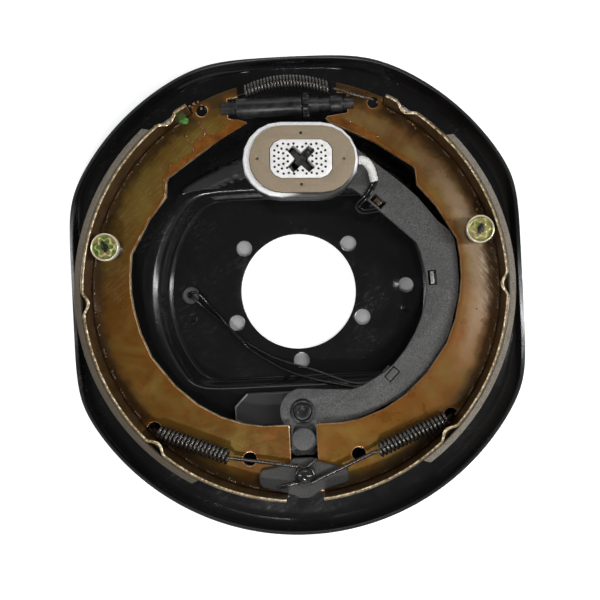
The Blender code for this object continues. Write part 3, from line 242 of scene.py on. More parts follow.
# %% Studio room, pale at the horizon and dim overhead
world = bpy.data.worlds.new("studio")
bpy.context.scene.world = world
world.use_nodes = True
room = world.node_tree
direction = room.nodes.new("ShaderNodeTexCoord")
parts = room.nodes.new("ShaderNodeSeparateXYZ")
room.links.new(direction.outputs["Generated"], parts.inputs[0])
height = room.nodes.new("ShaderNodeValToRGB")
height.color_ramp.elements[0].position = 0.0
height.color_ramp.elements[0].color = (0.70, 0.71, 0.72, 1)
height.color_ramp.elements[1].position = 0.86
height.color_ramp.elements[1].color = (0.07, 0.07, 0.072, 1)
room.links.new(parts.outputs["Z"], height.inputs[0])
room.links.new(height.outputs[0], room.nodes["Background"].inputs["Color"])


def soft_box(name, place, size, watts):
    """A rectangular lamp that looks at the middle of the brake."""
    data = bpy.data.lights.new(name, "AREA")
    data.shape = "RECTANGLE"
    data.size, data.size_y = size
    data.energy = watts
    lamp = bpy.data.objects.new(name, data)
    lamp.location = place
    lamp.rotation_euler = (Vector((0, 0, 0.03)) - Vector(place)).to_track_quat("-Z", "Y").to_euler()
    bpy.context.scene.collection.objects.link(lamp)
    return lamp


soft_box("left_box", (-1.05, 0.15, 0.85), (0.16, 0.9), 4.0)
soft_box("right_box", (1.05, -0.05, 0.72), (0.055, 1.9), 14.0)
soft_box("far_box", (0.1, 1.15, 0.95), (1.2, 0.22), 3.0)
soft_box("near_box", (-0.1, -1.15, 0.95), (1.2, 0.35), 1.2)
soft_box("key_box", (-0.10, -0.62, 1.0), (0.12, 0.05), 4.5)

# %% [markdown]
# ## Black enamel
# The backing plate is pressed steel in black enamel. It is glossy where nothing rubbed it, hazy and
# lightly scuffed in the pan, with dust in the corners and a slight orange peel.

# %% Black enamel
enamel = Finish("plate", "black_enamel", (0.012, 0.012, 0.013), 0.3, Specular_IOR_Level=0.45)
haze = enamel.grain(28, 5, 0.6)
scuffs = enamel.grain(380, 5, 0.75, enamel.streaked(0.5, 2.2))
marks = enamel.times(enamel.ramp(haze, (0.42, 0), (0.66, 1)), enamel.ramp(scuffs, (0.5, 0), (0.75, 1)))
coat = enamel.mix(marks, (0.008, 0.008, 0.0086), (0.022, 0.0215, 0.021))
# Painted sheen: the raised rib's top is painted lighter, as if it mirrored a lamp overhead.
painted_rib_sheen = enamel.ramp(enamel.span(enamel.axis("Z"), 0.0164, 0.0196), (0.0, 0.0), (0.6, 1.0))
painted_rib_sheen = enamel.times(painted_rib_sheen, enamel.span(enamel.from_axle(), 0.118, 0.112))
coat = enamel.mix(painted_rib_sheen, coat, 0.050)
# Painted highlight: pale grey on the bracket's marked chamfers.
enamel.colour(enamel.mix(enamel.attribute("painted_edge_highlight"), coat, (0.34, 0.33, 0.32)))
enamel.rough(enamel.plus(enamel.span(haze, 0.3, 0.7, 0.10, 0.24), enamel.span(marks, 0, 1, 0, 0.25)))
peel = enamel.bump(enamel.grain(900, 2), 0.00003, 0.5)
enamel.bump(marks, 0.00005, 0.3, after=peel)

# %% Dark oxide for adjuster, posts and pins
oxide = Finish("oxide", "dark_oxide", (0.06, 0.06, 0.062), 0.36, 0.85)
tone = oxide.grain(160, 4, 0.6)
oxide.colour(oxide.ramp(tone, (0.3, (0.022, 0.022, 0.023)), (0.7, (0.065, 0.065, 0.066))))
oxide.rough(oxide.span(tone, 0.3, 0.7, 0.28, 0.48))
oxide.bump(oxide.grain(1500, 3), 0.00002, 0.5)

# %% Black spring wire
wire = Finish("wire", "spring_wire", (0.09, 0.085, 0.08), 0.3, 0.9)
tone = wire.grain(500, 3)
wire.colour(wire.ramp(tone, (0.3, (0.075, 0.070, 0.064)), (0.7, (0.115, 0.107, 0.098))))
wire.rough(wire.span(tone, 0.3, 0.7, 0.24, 0.34))
polished = Finish("polished", "polished_post", 0.03, 0.09, 0.6)
polished.colour(polished.ramp(polished.grain(300, 3), (0.3, 0.022), (0.7, 0.05)))

# %% Black rubber and lead insulation
rubber = Finish("rubber", "black_rubber", 0.008, 0.3)
tone = rubber.grain(350, 3)
rubber.colour(rubber.ramp(tone, (0.3, 0.005), (0.7, 0.012)))
rubber.rough(rubber.span(tone, 0.3, 0.7, 0.12, 0.22))
rubber.bump(rubber.grain(1800, 2), 0.00002, 0.5)

# %% Grey phosphate on the lever
phosphate = Finish("phosphate", "grey_phosphate", 0.12, 0.5, 0.25)
fine = phosphate.grain(1400, 4, 0.7)
cloud = phosphate.grain(45, 4, 0.6)
speck = phosphate.ramp(fine, (0.40, (0.030, 0.031, 0.031)), (0.62, (0.155, 0.153, 0.148)))
phosphate.colour(phosphate.mix(phosphate.ramp(cloud, (0.35, 0.0), (0.7, 0.6)), speck, 0.050))
phosphate.rough(phosphate.span(fine, 0.3, 0.7, 0.42, 0.62))
phosphate.bump(fine, 0.00005, 0.4)

# %% Darker grey on the shoe retainer
retainer = Finish("retainer", "retainer_grey", (0.06, 0.06, 0.061), 0.6, 0.0, Specular_IOR_Level=0.3)
fine = retainer.grain(900, 4, 0.7)
retainer.colour(retainer.ramp(fine, (0.3, 0.030), (0.7, (0.075, 0.074, 0.071))))
retainer.bump(fine, 0.00004, 0.4)

# %% Zinc plating: bright on the magnet's case, yellow on the hold-down cups
zinc = Finish("zinc", "bright_zinc", (0.72, 0.73, 0.74), 0.34, 0.0)
brushed = zinc.grain(700, 4, 0.6, zinc.mapped(stretch=(1, 1, 0.15)))
plated = zinc.ramp(brushed, (0.3, (0.72, 0.72, 0.73)), (0.7, 0.93))
zinc.colour(zinc.mix(zinc.attribute("shaded"), plated, (0.035, 0.034, 0.033)))
zinc.rough(zinc.span(brushed, 0.3, 0.7, 0.26, 0.5))
yellow = Finish("yellow", "yellow_zinc", (0.62, 0.55, 0.28), 0.26, 0.55)
tint = yellow.grain(90, 3, 0.6)
floor = yellow.ramp(tint, (0.35, (0.20, 0.17, 0.05)), (0.5, (0.40, 0.33, 0.12)), (0.62, (0.09, 0.22, 0.02)))
floor = yellow.mix(yellow.attribute("crown"), floor, (0.80, 0.74, 0.50))
yellow.colour(yellow.mix(yellow.attribute("rim"), floor, (0.80, 0.74, 0.58)))

# %% Friction face, pale core, winding and sleeve of the magnet
face = Finish("face", "friction_face", (0.33, 0.27, 0.19), 0.62)
fine = face.grain(2600, 4, 0.75)
cloud = face.grain(110, 4, 0.6)
tan = face.ramp(fine, (0.30, (0.14, 0.105, 0.066)), (0.5, (0.235, 0.185, 0.120)), (0.70, (0.33, 0.275, 0.195)))
# Painted shade: near black on any point marked as sunk below the surface.
tan = face.mix(face.attribute("sunk"), tan, (0.02, 0.016, 0.012))
face.colour(face.mix(face.ramp(cloud, (0.42, 0.0), (0.7, 0.4)), tan, (0.26, 0.185, 0.115)))
face.bump(fine, 0.00004, 0.5)
core = Finish("core", "pale_core", (0.84, 0.83, 0.80), 0.38, 0.1)
cloud = core.grain(240, 3)
pale = core.ramp(cloud, (0.3, (0.70, 0.69, 0.67)), (0.65, (0.80, 0.79, 0.78)))
# Painted shade: near black inside the perforations, on the points marked as sunk.
core.colour(core.mix(core.attribute("sunk"), pale, 0.012))
core.rough(core.span(cloud, 0.3, 0.7, 0.36, 0.55))
copper = Finish("coil", "winding", (0.30, 0.10, 0.04), 0.45, 0.4)
turns = copper.grain(900, 2, 0.5, copper.mapped(stretch=(0.05, 0.05, 1)))
copper.colour(copper.ramp(turns, (0.4, (0.16, 0.05, 0.02)), (0.6, (0.36, 0.13, 0.05))))
woven = Finish("sleeve", "woven_sleeve", (0.80, 0.79, 0.75), 0.75)
weave = woven.grain(1300, 3, 0.7)
woven.colour(woven.ramp(weave, (0.3, (0.50, 0.49, 0.46)), (0.62, (0.88, 0.87, 0.84))))
woven.bump(weave, 0.0003, 0.8)

# %% [markdown]
# ## Varnished shoes
# Web and table are bare steel under one coat of amber rust varnish. It lies thin and olive on the flat,
# and brown in runs and pools along the edges. The bonded lining is a pressed mix of fibre and grit.

# %% Amber varnish on the webs
varnish = Finish("web", "amber_varnish", (0.30, 0.17, 0.05), 0.32, 0.45, Coat_Weight=0.12, Coat_Roughness=0.15)
along = varnish.span(varnish.axis("Y"), -0.15, 0.15)
left_tones = varnish.ramp(
    along, (0.0, (0.145, 0.082, 0.006)), (0.10, (0.135, 0.060, 0.003)), (0.24, (0.18, 0.080, 0.005)),
    (0.36, (0.180, 0.068, 0.004)), (0.50, (0.170, 0.068, 0.005)), (0.62, (0.135, 0.072, 0.010)),
    (0.70, (0.21, 0.135, 0.022)), (0.86, (0.23, 0.145, 0.020)), (1.0, (0.22, 0.122, 0.010)),
)
right_tones = varnish.ramp(
    along, (0.0, (0.24, 0.145, 0.010)), (0.13, (0.23, 0.105, 0.004)), (0.22, (0.25, 0.090, 0.003)),
    (0.34, (0.26, 0.100, 0.016)), (0.46, (0.27, 0.125, 0.040)), (0.60, (0.29, 0.150, 0.060)),
    (0.74, (0.21, 0.100, 0.022)), (0.88, (0.18, 0.075, 0.009)), (1.0, (0.20, 0.080, 0.007)),
)
sides = varnish.span(varnish.axis("X"), -0.002, 0.002)
tones = varnish.mix(sides, left_tones, right_tones)
clouds = varnish.grain(26, 6, 0.65, distort=0.8)
tones = varnish.mix(varnish.ramp(clouds, (0.40, 0.0), (0.62, 0.7)), tones, (0.160, 0.058, 0.003))
olive = varnish.grain(34, 5, 0.6, varnish.mapped(move=(0.3, 0.1, 0)), 0.6)
tones = varnish.mix(varnish.ramp(olive, (0.46, 0.0), (0.66, 0.55)), tones, (0.21, 0.148, 0.018))
rust = varnish.grain(60, 4, 0.65, varnish.mapped(move=(0.7, 0.2, 0)), 0.4)
tones = varnish.mix(varnish.ramp(rust, (0.55, 0.0), (0.66, 0.55)), tones, (0.27, 0.085, 0.008))
speckle = varnish.grain(1700, 3, 0.7)
tones = varnish.mix(varnish.ramp(speckle, (0.35, 0.0), (0.75, 0.45)), tones, (0.085, 0.045, 0.010))
scratch_area = varnish.ramp(along, (0.44, 0.0), (0.54, 1.0), (0.90, 1.0))
streaks = varnish.grain(1000, 3, 0.6, varnish.streaked(0.72, 11))
streaks = varnish.times(varnish.ramp(streaks, (0.50, 0.0), (0.66, 0.30)), scratch_area)
streaks = varnish.times(streaks, varnish.span(sides, 0, 1, 1.0, 0.35))
tones = varnish.mix(streaks, tones, (0.36, 0.28, 0.14))
rubbed = varnish.grain(900, 4, 0.65, varnish.streaked(-1.0, 9))
rubbed = varnish.times(varnish.ramp(rubbed, (0.49, 0.0), (0.62, 0.75)), sides)
rubbed = varnish.times(rubbed, varnish.ramp(along, (0.42, 0.0), (0.49, 1.0), (0.56, 1.0), (0.62, 0.0)))
rubbed = varnish.times(rubbed, varnish.ramp(varnish.from_axle(), (0.1290, 0.0), (0.1330, 1.0), (0.1400, 1.0)))
tones = varnish.mix(rubbed, tones, (0.62, 0.54, 0.45))
# Pale band on the right web near its table: partly the varnish's own pale tone, partly a painted sheen.
ring = varnish.plus(varnish.from_axle(), varnish.span(varnish.grain(95, 4, 0.6), 0.3, 0.7, -0.0024, 0.0024))
pale = varnish.times(varnish.ramp(ring, (0.1215, 0.0), (0.1310, 0.60), (0.1375, 0.0)), sides)
pale = varnish.times(pale, varnish.ramp(along, (0.28, 0.0), (0.42, 1.0), (0.70, 1.0), (0.84, 0.2)))
tones = varnish.mix(pale, tones, (0.50, 0.38, 0.26))
# Painted shade: the web darker next to its table, where the table's wall shades it.
shade = varnish.span(ring, 0.1345, 0.1405)
tones = varnish.mix(varnish.times(shade, 0.85), tones, (0.040, 0.020, 0.006))
waver = varnish.span(varnish.grain(140, 3), 0.3, 0.7, -0.0008, 0.0008)
inner = varnish.plus(varnish.attribute("from_edge"), waver)
near = varnish.span(inner, 0, 0.010)
tones = varnish.mix(varnish.ramp(near, (0.08, 0.8), (0.45, 0.0)), tones, (0.20, 0.066, 0.005))
# Painted highlight: a thin cream line along the broken inner edge, strongest on the left web.
rim = varnish.ramp(varnish.span(varnish.attribute("from_edge"), 0, 0.002), (0.22, 1.0), (0.34, 0.0))
rim = varnish.times(rim, varnish.span(sides, 0, 1, 0.9, 0.35))
rim = varnish.times(rim, varnish.span(varnish.grain(200, 4, 0.7), 0.38, 0.55, 0.25, 1.0))
tones = varnish.mix(rim, tones, (0.62, 0.49, 0.28))
varnish.colour(tones)
varnish.rough(varnish.span(olive, 0.3, 0.7, 0.22, 0.42))
ripple = varnish.bump(varnish.grain(70, 4, 0.6), 0.0008, 0.5)
varnish.bump(speckle, 0.00005, 0.5, after=ripple)

# %% Thick varnish in drips and pools, paint mark, and rust crumbs at the weld
drip = Finish("drip", "varnish_drip", (0.20, 0.075, 0.012), 0.2, 0.0, Coat_Weight=0.6, Coat_Roughness=0.1)
tone = drip.grain(170, 4, 0.6)
drip.colour(drip.ramp(tone, (0.3, (0.11, 0.034, 0.004)), (0.6, (0.20, 0.072, 0.008)), (0.8, (0.28, 0.12, 0.018))))
drip.bump(drip.grain(210, 3), 0.0006, 0.5)
crust = Finish("crust", "weld_crust", (0.14, 0.08, 0.04), 0.3, 0.3, Coat_Weight=0.4, Coat_Roughness=0.15)
tone = crust.grain(520, 3, 0.6)
crust.colour(crust.ramp(tone, (0.35, (0.03, 0.016, 0.006)), (0.62, (0.13, 0.07, 0.03))))
paint = Finish("paint", "green_paint", (0.10, 0.36, 0.07), 0.5)
paint.colour(paint.ramp(paint.grain(700, 3), (0.35, (0.035, 0.17, 0.02)), (0.65, (0.13, 0.42, 0.09))))

# %% Brown varnish on the tables, worn to bright metal along the open edge
brown = Finish("table", "brown_varnish", (0.08, 0.05, 0.025), 0.3, 0.3, Coat_Weight=0.6, Coat_Roughness=0.15)
pools = brown.grain(150, 4, 0.6)
down = brown.grain(420, 3, 0.6, brown.mapped(stretch=(1, 1, 0.08)))
dark = brown.ramp(pools, (0.3, (0.018, 0.009, 0.003)), (0.7, (0.090, 0.045, 0.014)))
dark = brown.mix(brown.ramp(down, (0.45, 0.0), (0.7, 0.22)), dark, (0.16, 0.095, 0.040))
worn = brown.span(brown.axis("Z"), TOP["left_shoe_table"] - 0.0006, TOP["left_shoe_table"] - 0.0003)
cream = brown.ramp(
    brown.grain(420, 4, 0.7), (0.36, (0.10, 0.055, 0.015)), (0.5, (0.45, 0.33, 0.17)), (0.62, (0.95, 0.86, 0.66)))
outer = brown.ramp(brown.grain(500, 4, 0.7), (0.36, (0.05, 0.032, 0.014)), (0.66, (0.24, 0.18, 0.10)))
cream = brown.mix(brown.span(brown.from_axle(), 0.1458, 0.1463), cream, outer)
brown.colour(brown.mix(worn, dark, cream))
brown.bump(pools, 0.0003, 0.5)

# %% Friction lining
lining = Finish("lining", "friction_lining", (0.17, 0.15, 0.12), 0.85)
grit = lining.grain(1500, 5, 0.8)
lumps = lining.grain(330, 4, 0.7)
body = lining.ramp(grit, (0.34, (0.055, 0.046, 0.036)), (0.5, (0.15, 0.128, 0.10)), (0.68, (0.33, 0.30, 0.25)))
body = lining.mix(lining.ramp(lumps, (0.4, 0.0), (0.66, 0.6)), body, (0.21, 0.185, 0.15))
# Painted shade: the left lining darker brown, most towards the bottom.
on_left = lining.span(lining.axis("X"), 0.01, -0.01)
downward = lining.span(lining.axis("Y"), 0.09, -0.01, 0.35, 0.8)
left_side_shade = lining.times(on_left, downward)
lining.colour(lining.mix(left_side_shade, body, (0.045, 0.032, 0.016)))
lining.bump(grit, 0.0003, 0.7)
print(len(finishes), "finishes")

# %% [markdown]
# ## Tools for pieces
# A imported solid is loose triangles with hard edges. A real part has edges broken by tumbling, bending
# or paint, and those thin highlights are what the eye reads. So most pieces are a merged copy of the
# solid with a small bevel, in the same place, and the solid itself is left for simulation.


# %% Helpers for pieces
def only(piece):
    """Selects one object and nothing else."""
    bpy.ops.object.select_all(action="DESELECT")
    piece.select_set(True)
    bpy.context.view_layer.objects.active = piece


def smooth(piece, degrees=32):
    """Shades faces smoothly, except across edges sharper than an angle."""
    only(piece)
    bpy.ops.object.shade_smooth_by_angle(angle=math.radians(degrees))


def keep(piece, body, finish, stands_for=()):
    """Gives a finished piece its material, and makes it ride on its body."""
    piece.data.materials.clear()
    piece.data.materials.append(finishes[finish])
    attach(piece, body)
    if stands_for:
        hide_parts(*stands_for)
    return piece


def apply_modifiers(piece):
    only(piece)
    for modifier in list(piece.modifiers):
        bpy.ops.object.modifier_apply(modifier=modifier.name)


def bevelled(piece, width, degrees=30, segments=2):
    """Breaks the edges that are sharper than an angle."""
    edge = piece.modifiers.new("edge", "BEVEL")
    edge.width = width
    edge.segments = segments
    edge.limit_method = "ANGLE"
    edge.angle_limit = math.radians(degrees)
    apply_modifiers(piece)


def thickened(piece, thickness, even=False):
    """Turns a surface face up, and gives it a thickness below."""
    if piece.data.polygons[0].normal.z < 0:
        piece.data.flip_normals()
    sheet = piece.modifiers.new("sheet", "SOLIDIFY")
    sheet.thickness = thickness
    sheet.offset = -1
    sheet.use_even_offset = even
    apply_modifiers(piece)


def mark(piece, name, values, domain="POINT"):
    """Writes one number for each point or face, for the finish to read."""
    piece.data.attributes.new(name, "FLOAT", domain).data.foreach_set("value", values)


def placed(name, data):
    """A new object in the scene."""
    piece = bpy.data.objects.new(name, data)
    bpy.context.scene.collection.objects.link(piece)
    return piece


def dressed(piece, finish, node):
    """Gives a piece its material, and hides the imported node that it stands for."""
    piece.data.materials.append(finishes[finish])
    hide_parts(node)


def softened(node, finish, bevel):
    """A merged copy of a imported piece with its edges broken. It stands for the piece."""
    piece = placed("finished_" + node, nodes[node].data.copy())
    only(piece)
    bpy.ops.mesh.customdata_custom_splitnormals_clear()
    bpy.ops.object.mode_set(mode="EDIT")
    bpy.ops.mesh.select_all(action="SELECT")
    bpy.ops.mesh.remove_doubles(threshold=1e-6)
    bpy.ops.mesh.dissolve_limited(angle_limit=math.radians(0.6))
    bpy.ops.object.mode_set(mode="OBJECT")
    bevelled(piece, bevel, 32)
    smooth(piece)
    return keep(piece, nodes[node]["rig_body"], finish, [node])


def wound(name, points, radius):
    """Round wire along a path, as one mesh."""
    data = bpy.data.curves.new(name, "CURVE")
    data.dimensions = "3D"
    data.bevel_depth = radius
    data.bevel_resolution = 2
    data.use_fill_caps = True
    spline = data.splines.new("POLY")
    spline.points.add(len(points) - 1)
    for point, place in zip(spline.points, points):
        point.co = (*place, 1)
    only(placed(name, data))
    bpy.ops.object.convert(target="MESH")
    smooth(bpy.context.object, 60)
    return bpy.context.object


def at(x, y, z=0.0):
    """A point measured from the axle's axis, in millimetres."""
    return Vector((x / 1000, AXLE.y + y / 1000, z / 1000))


def smooth_path(points, per_span, closed=False):
    """A Catmull-Rom curve through the points."""
    points = [Vector(p) for p in points]
    if closed:
        ends = [points[-1]] + points + [points[0], points[1]]
    else:
        ends = [2 * points[0] - points[1]] + points + [2 * points[-1] - points[-2]]
    path = []
    for a, b, c, d in zip(ends, ends[1:], ends[2:], ends[3:]):
        for i in range(per_span):
            t = i / per_span
            path.append(
                0.5 * (2 * b + (c - a) * t + (2 * a - 5 * b + 4 * c - d) * t**2 + (3 * b - a - 3 * c + d) * t**3)
            )
    return path if closed else path + [points[-1]]


def coil(start, end, radius, turns, per_turn, side, bow=0.0):
    """A helix from start to end. side is where it starts, and bow arches its axis."""
    side = Vector(side).normalized()
    across = (end - start).normalized().cross(side).normalized()
    points = []
    for i in range(turns * per_turn + 1):
        t = i / (turns * per_turn)
        turn = math.tau * turns * t
        axis = start.lerp(end, t) + Vector((0, 4 * bow * t * (1 - t), 0))
        points.append(axis + radius * (math.cos(turn) * side + math.sin(turn) * across))
    return points


SIDES = (("left", -1), ("right", 1))
HOLD_DOWN_X, HOLD_DOWN_Y = 129.3, 34.5


def sided(degrees, flip):
    """The direction on the right shoe, or its mirror image on the left one."""
    return degrees if flip > 0 else 180 - degrees


def on_circle(radius, degrees, centre, z):
    turn = math.radians(degrees)
    return Vector((centre.x + radius * math.cos(turn), centre.y + radius * math.sin(turn), z))


def wrapped(loops, sides):
    """Faces of a closed tube of loops, with both ends."""
    faces = []
    for i in range(loops - 1):
        for k in range(sides):
            a, b = i * sides + k, i * sides + (k + 1) % sides
            faces.append((a, b, b + sides, a + sides))
    return faces + [tuple(range(sides)), tuple(range((loops - 1) * sides, loops * sides))]


def spun(columns, rows):
    """Faces of a surface made of columns that stand in a ring."""
    faces = []
    for i in range(columns):
        for k in range(rows - 1):
            a, b = i * rows + k, ((i + 1) % columns) * rows + k
            faces.append((a, a + 1, b + 1, b))
    return faces


def from_mesh(name, points, faces, degrees=40):
    """A new piece from points and faces, with its faces turned outward."""
    mesh = bpy.data.meshes.new(name)
    mesh.from_pydata(points, [], faces)
    mesh.validate()
    piece = placed(name, mesh)
    only(piece)
    bpy.ops.object.mode_set(mode="EDIT")
    bpy.ops.mesh.select_all(action="SELECT")
    bpy.ops.mesh.normals_make_consistent(inside=False)
    bpy.ops.object.mode_set(mode="OBJECT")
    smooth(piece, degrees)
    return piece


def tube(name, path, radii, sides=16):
    """A closed tube whose radius may change from point to point."""
    points = []
    side = Vector((0, 0, 1))
    for i, place in enumerate(path):
        ahead = (path[min(i + 1, len(path) - 1)] - path[max(i - 1, 0)]).normalized()
        side = (side - side.dot(ahead) * ahead).normalized()
        other = ahead.cross(side)
        for k in range(sides):
            turn = math.tau * k / sides
            points.append(place + radii(i, turn) * (math.cos(turn) * side + math.sin(turn) * other))
    return from_mesh(name, points, wrapped(len(path), sides), 60)


# %% [markdown]
# ## Leads
# Two thin leads leave the magnet in a woven sleeve, pass over the lever's inner edge, run back under it
# through its clips, and cross the pan to the grommet.

# %% The two leads
LEAD_R = 0.001
LEVER_LOW, LEVER_TOP = TOP["lever_arm"] - 0.006, TOP["lever_arm"]
under_z, over_z, floor_z = LEVER_LOW - LEAD_R - 0.00045, LEVER_TOP + LEAD_R + 0.0003, 0.003 + LEAD_R + 0.0003
sleeve_route = [
    (0.0482, 0.0884, 0.0520), (0.0512, 0.0884, 0.0512), (0.0545, 0.0868, 0.0478),
    (0.0574, 0.0825, LEVER_TOP + 0.0056), (0.0594, 0.0745, LEVER_TOP + 0.0038),
]
edge_route = [
    (0.0572, 0.0698, over_z + 0.0008), (0.0540, 0.0648, over_z + 0.0008), (0.0502, 0.0616, LEVER_TOP + 0.0004),
    (0.0474, 0.0590, LEVER_LOW + 0.0030), (0.0480, 0.0560, LEVER_LOW - 0.0008), (0.0535, 0.0546, under_z - 0.0003),
]
clip_route = [
    (0.0640, 0.0530), (0.0720, 0.0470), (0.0820, 0.0375), (0.0890, 0.0265), (0.0918, 0.0140), (0.0926, 0.0010),
    (0.0917, -0.0120), (0.0885, -0.0235), (0.0835, -0.0340), (0.0765, -0.0450), (0.0675, -0.0550),
    (0.0590, -0.0625), (0.0520, -0.0672),
]
pan_routes = {
    "inner_lead": [
        (0.0391, -0.0700, 0.0262), (0.0257, -0.0659, 0.0200), (0.0109, -0.0602, 0.0135),
        (-0.0040, -0.0556, 0.0082),
        (-0.0188, -0.0503, floor_z + 0.0010), (-0.0283, -0.0453, floor_z), (-0.0422, -0.0363, floor_z),
        (-0.0494, -0.0291, floor_z), (-0.0617, -0.0186, floor_z), (-0.0732, -0.0075, floor_z + 0.0004),
        (-0.0784, -0.0024, floor_z + 0.0034),
    ],
    "outer_lead": [
        (0.0430, -0.0722, 0.0262), (0.0360, -0.0722, 0.0230), (0.0105, -0.0670, 0.0128),
        (-0.0091, -0.0606, 0.0075),
        (-0.0242, -0.0523, floor_z + 0.0006), (-0.0387, -0.0417, floor_z + 0.0012),
        (-0.0447, -0.0352, floor_z + 0.0023), (-0.0501, -0.0291, floor_z + 0.0025),
        (-0.0547, -0.0231, floor_z + 0.0023), (-0.0593, -0.0172, floor_z + 0.0010),
        (-0.0679, -0.0070, floor_z + 0.0004), (-0.0758, 0.0022, floor_z + 0.0034),
    ],
}


def beside(route, distance):
    """The same route, moved sideways."""
    moved = []
    for i, (x, y, z) in enumerate(route):
        a, b = route[max(i - 1, 0)], route[min(i + 1, len(route) - 1)]
        ahead = Vector((b[0] - a[0], b[1] - a[1])).normalized()
        moved.append((x + ahead.y * distance, y - ahead.x * distance, z))
    return moved


under = beside([(x, y, under_z) for x, y in clip_route], -0.0032)
shared = [*sleeve_route[2:], *edge_route, *under]
for across, (name, pan) in zip((1, -1), pan_routes.items()):
    drop = (-0.0815, 0.0009 - 1.18 * LEAD_R * across)
    route = beside(shared, 1.18 * LEAD_R * across) + pan + [(*drop, 0.0062), (*drop, 0.0010)]
    path = [p + Vector((0, AXLE.y, 0)) for p in smooth_path(route, 4)]
    lead = tube("finished_" + name, path, lambda i, turn: LEAD_R, 10)
    dressed(lead, "rubber", name)
    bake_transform(lead)

# %% Woven sleeve, bunched by hand where it bends
sleeve_path = [p + Vector((0, AXLE.y, 0)) for p in smooth_path(sleeve_route, 9)]


def crumpled(i, turn):
    """The sleeve's radius, in soft folds."""
    place = sleeve_path[i] + 0.003 * Vector((math.cos(turn), math.sin(turn), 0))
    fold = noise.noise(place * 420) + 0.5 * noise.noise(place * 900)
    return 0.0030 + 0.0004 * fold + 0.00015 * math.sin(i * 1.9)


sleeve = tube("finished_lead_sleeve", sleeve_path, crumpled, 28)
dressed(sleeve, "sleeve", "lead_sleeve")
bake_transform(sleeve)

# %% [markdown]
# ## Springs
# Each spring is wound at its true pitch, with enough points for its highlights to run cleanly from turn
# to turn.

# %% Return springs
RETAINER_TOP = TOP["shoe_retainer"]
for side, flip in SIDES:
    level = RETAINER_TOP + 0.0013 + (0.0026 if side == "right" else 0)
    lie = WEB_TOP + 0.0065
    far, near = at(100.6, -96.1) + Vector((0, 0, lie)), at(53.0, -115.6) + Vector((0, 0, lie))
    along = (near - far).normalized()
    hole = at(105.5, -94.5)
    anchor = at(0, -131.8)
    path = [hole + Vector((0, 0, WEB_TOP - 0.0035)), hole + Vector((0, 0, WEB_TOP + 0.001))]
    path += [hole + Vector((-0.0008, 0, WEB_TOP + 0.0038)), far - 0.0020 * along + Vector((0, 0, 0.0026))]
    path += coil(far, near, 0.0046, 17, 22, (0, 0, 1))
    reach = near + 0.0042 * along
    reach.z = level + 0.0012
    path.append(reach)
    if side == "right":
        path += [on_circle(0.0059, turn, anchor, level) for turn in range(-58, -289, -11)]
        path.append(at(8.8, -120.0, level * 1000))
    else:
        path += [on_circle(0.0059, turn, anchor, level) for turn in range(92, 321, 11)]
        path.append(at(18.5, -139.0, level * 1000))
    if flip < 0:
        path = [Vector((-p.x, p.y, p.z)) for p in path]
    spring = wound(f"finished_{side}_retract_spring", path, 0.00136)
    dressed(spring, "wire", f"{side}_retract_spring")
    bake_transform(spring)

# %% Adjuster spring
lie = (WEB_TOP - 0.0025) + 0.001
front, behind = WEB_TOP + 0.0011, WEB_TOP - 0.0061
path = [(-61.2, 131.8, lie), (-60.0, 132.2, behind), (-52.0, 135.2, behind), (-42.0, 138.4, behind),
        (-34.5, 140.6, behind)]
path = [at(x, y, z * 1000) for x, y, z in path]
path += coil(at(-30.0, 141.6, lie * 1000), at(29.8, 141.6, lie * 1000), 0.0043, 26, 20, (0, 0, -1), bow=0.0062)
tail = [(34.5, 140.6, front), (42.0, 137.9, front), (52.0, 134.5, front), (60.0, 132.0, front), (61.2, 131.6, lie)]
path += [at(x, y, z * 1000) for x, y, z in tail]
spring = wound("finished_adjuster_spring", path, 0.00092)
keep(spring, "frame", "wire", ["adjuster_spring"])

# %% Hold-down springs
for side, flip in SIDES:
    centre = at(flip * HOLD_DOWN_X, HOLD_DOWN_Y)
    low, high = FOOT[f"{side}_hold_down_spring"] + 0.001, TOP[f"{side}_hold_down_spring"] - 0.001
    path = []
    for i in range(7 * 24 + 1):
        rise = min(max((i / 24 - 0.5) / 6, 0.0), 1.0)
        path.append(on_circle(0.0072, 360 * i / 24, centre, low + (high - low) * rise))
    spring = wound(f"finished_{side}_hold_down_spring", path, 0.001)
    dressed(spring, "wire", f"{side}_hold_down_spring")
    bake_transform(spring)

# %% Magnet spring
low, high = (Vector(corner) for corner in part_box("magnet_spring"))
centre = (low + high) / 2
foot, head = low.z + 0.0009, high.z - 0.0009
path = [on_circle(0.0085, 90 + 360 * i / 24, centre, foot + (head - foot) * i / 72) for i in range(73)]
spring = wound("finished_magnet_spring", path, 0.0009)
dressed(spring, "wire", "magnet_spring")
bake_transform(spring)

# %% [markdown]
# ## Backing plate
# The plate is one pressed sheet, so one height is worked out for each point of it: flat pan, rolled wall,
# ring, kidney-shaped rib and turned-up rim. The sheet is then given its thickness and its holes.


# %% Pressed height of the sheet
def limited(radius, flats, degrees, sharpness):
    """A circle's radius at an angle, cut by flats at (direction, distance), with rounded corners."""
    total = radius**-sharpness
    for direction, distance in flats:
        facing = math.cos(math.radians(degrees - direction))
        if facing > 0.1:
            total += (distance / facing) ** -sharpness
    return total ** (-1 / sharpness)


def eased(t):
    t = min(max(t, 0.0), 1.0)
    return t * t * (3 - 2 * t)


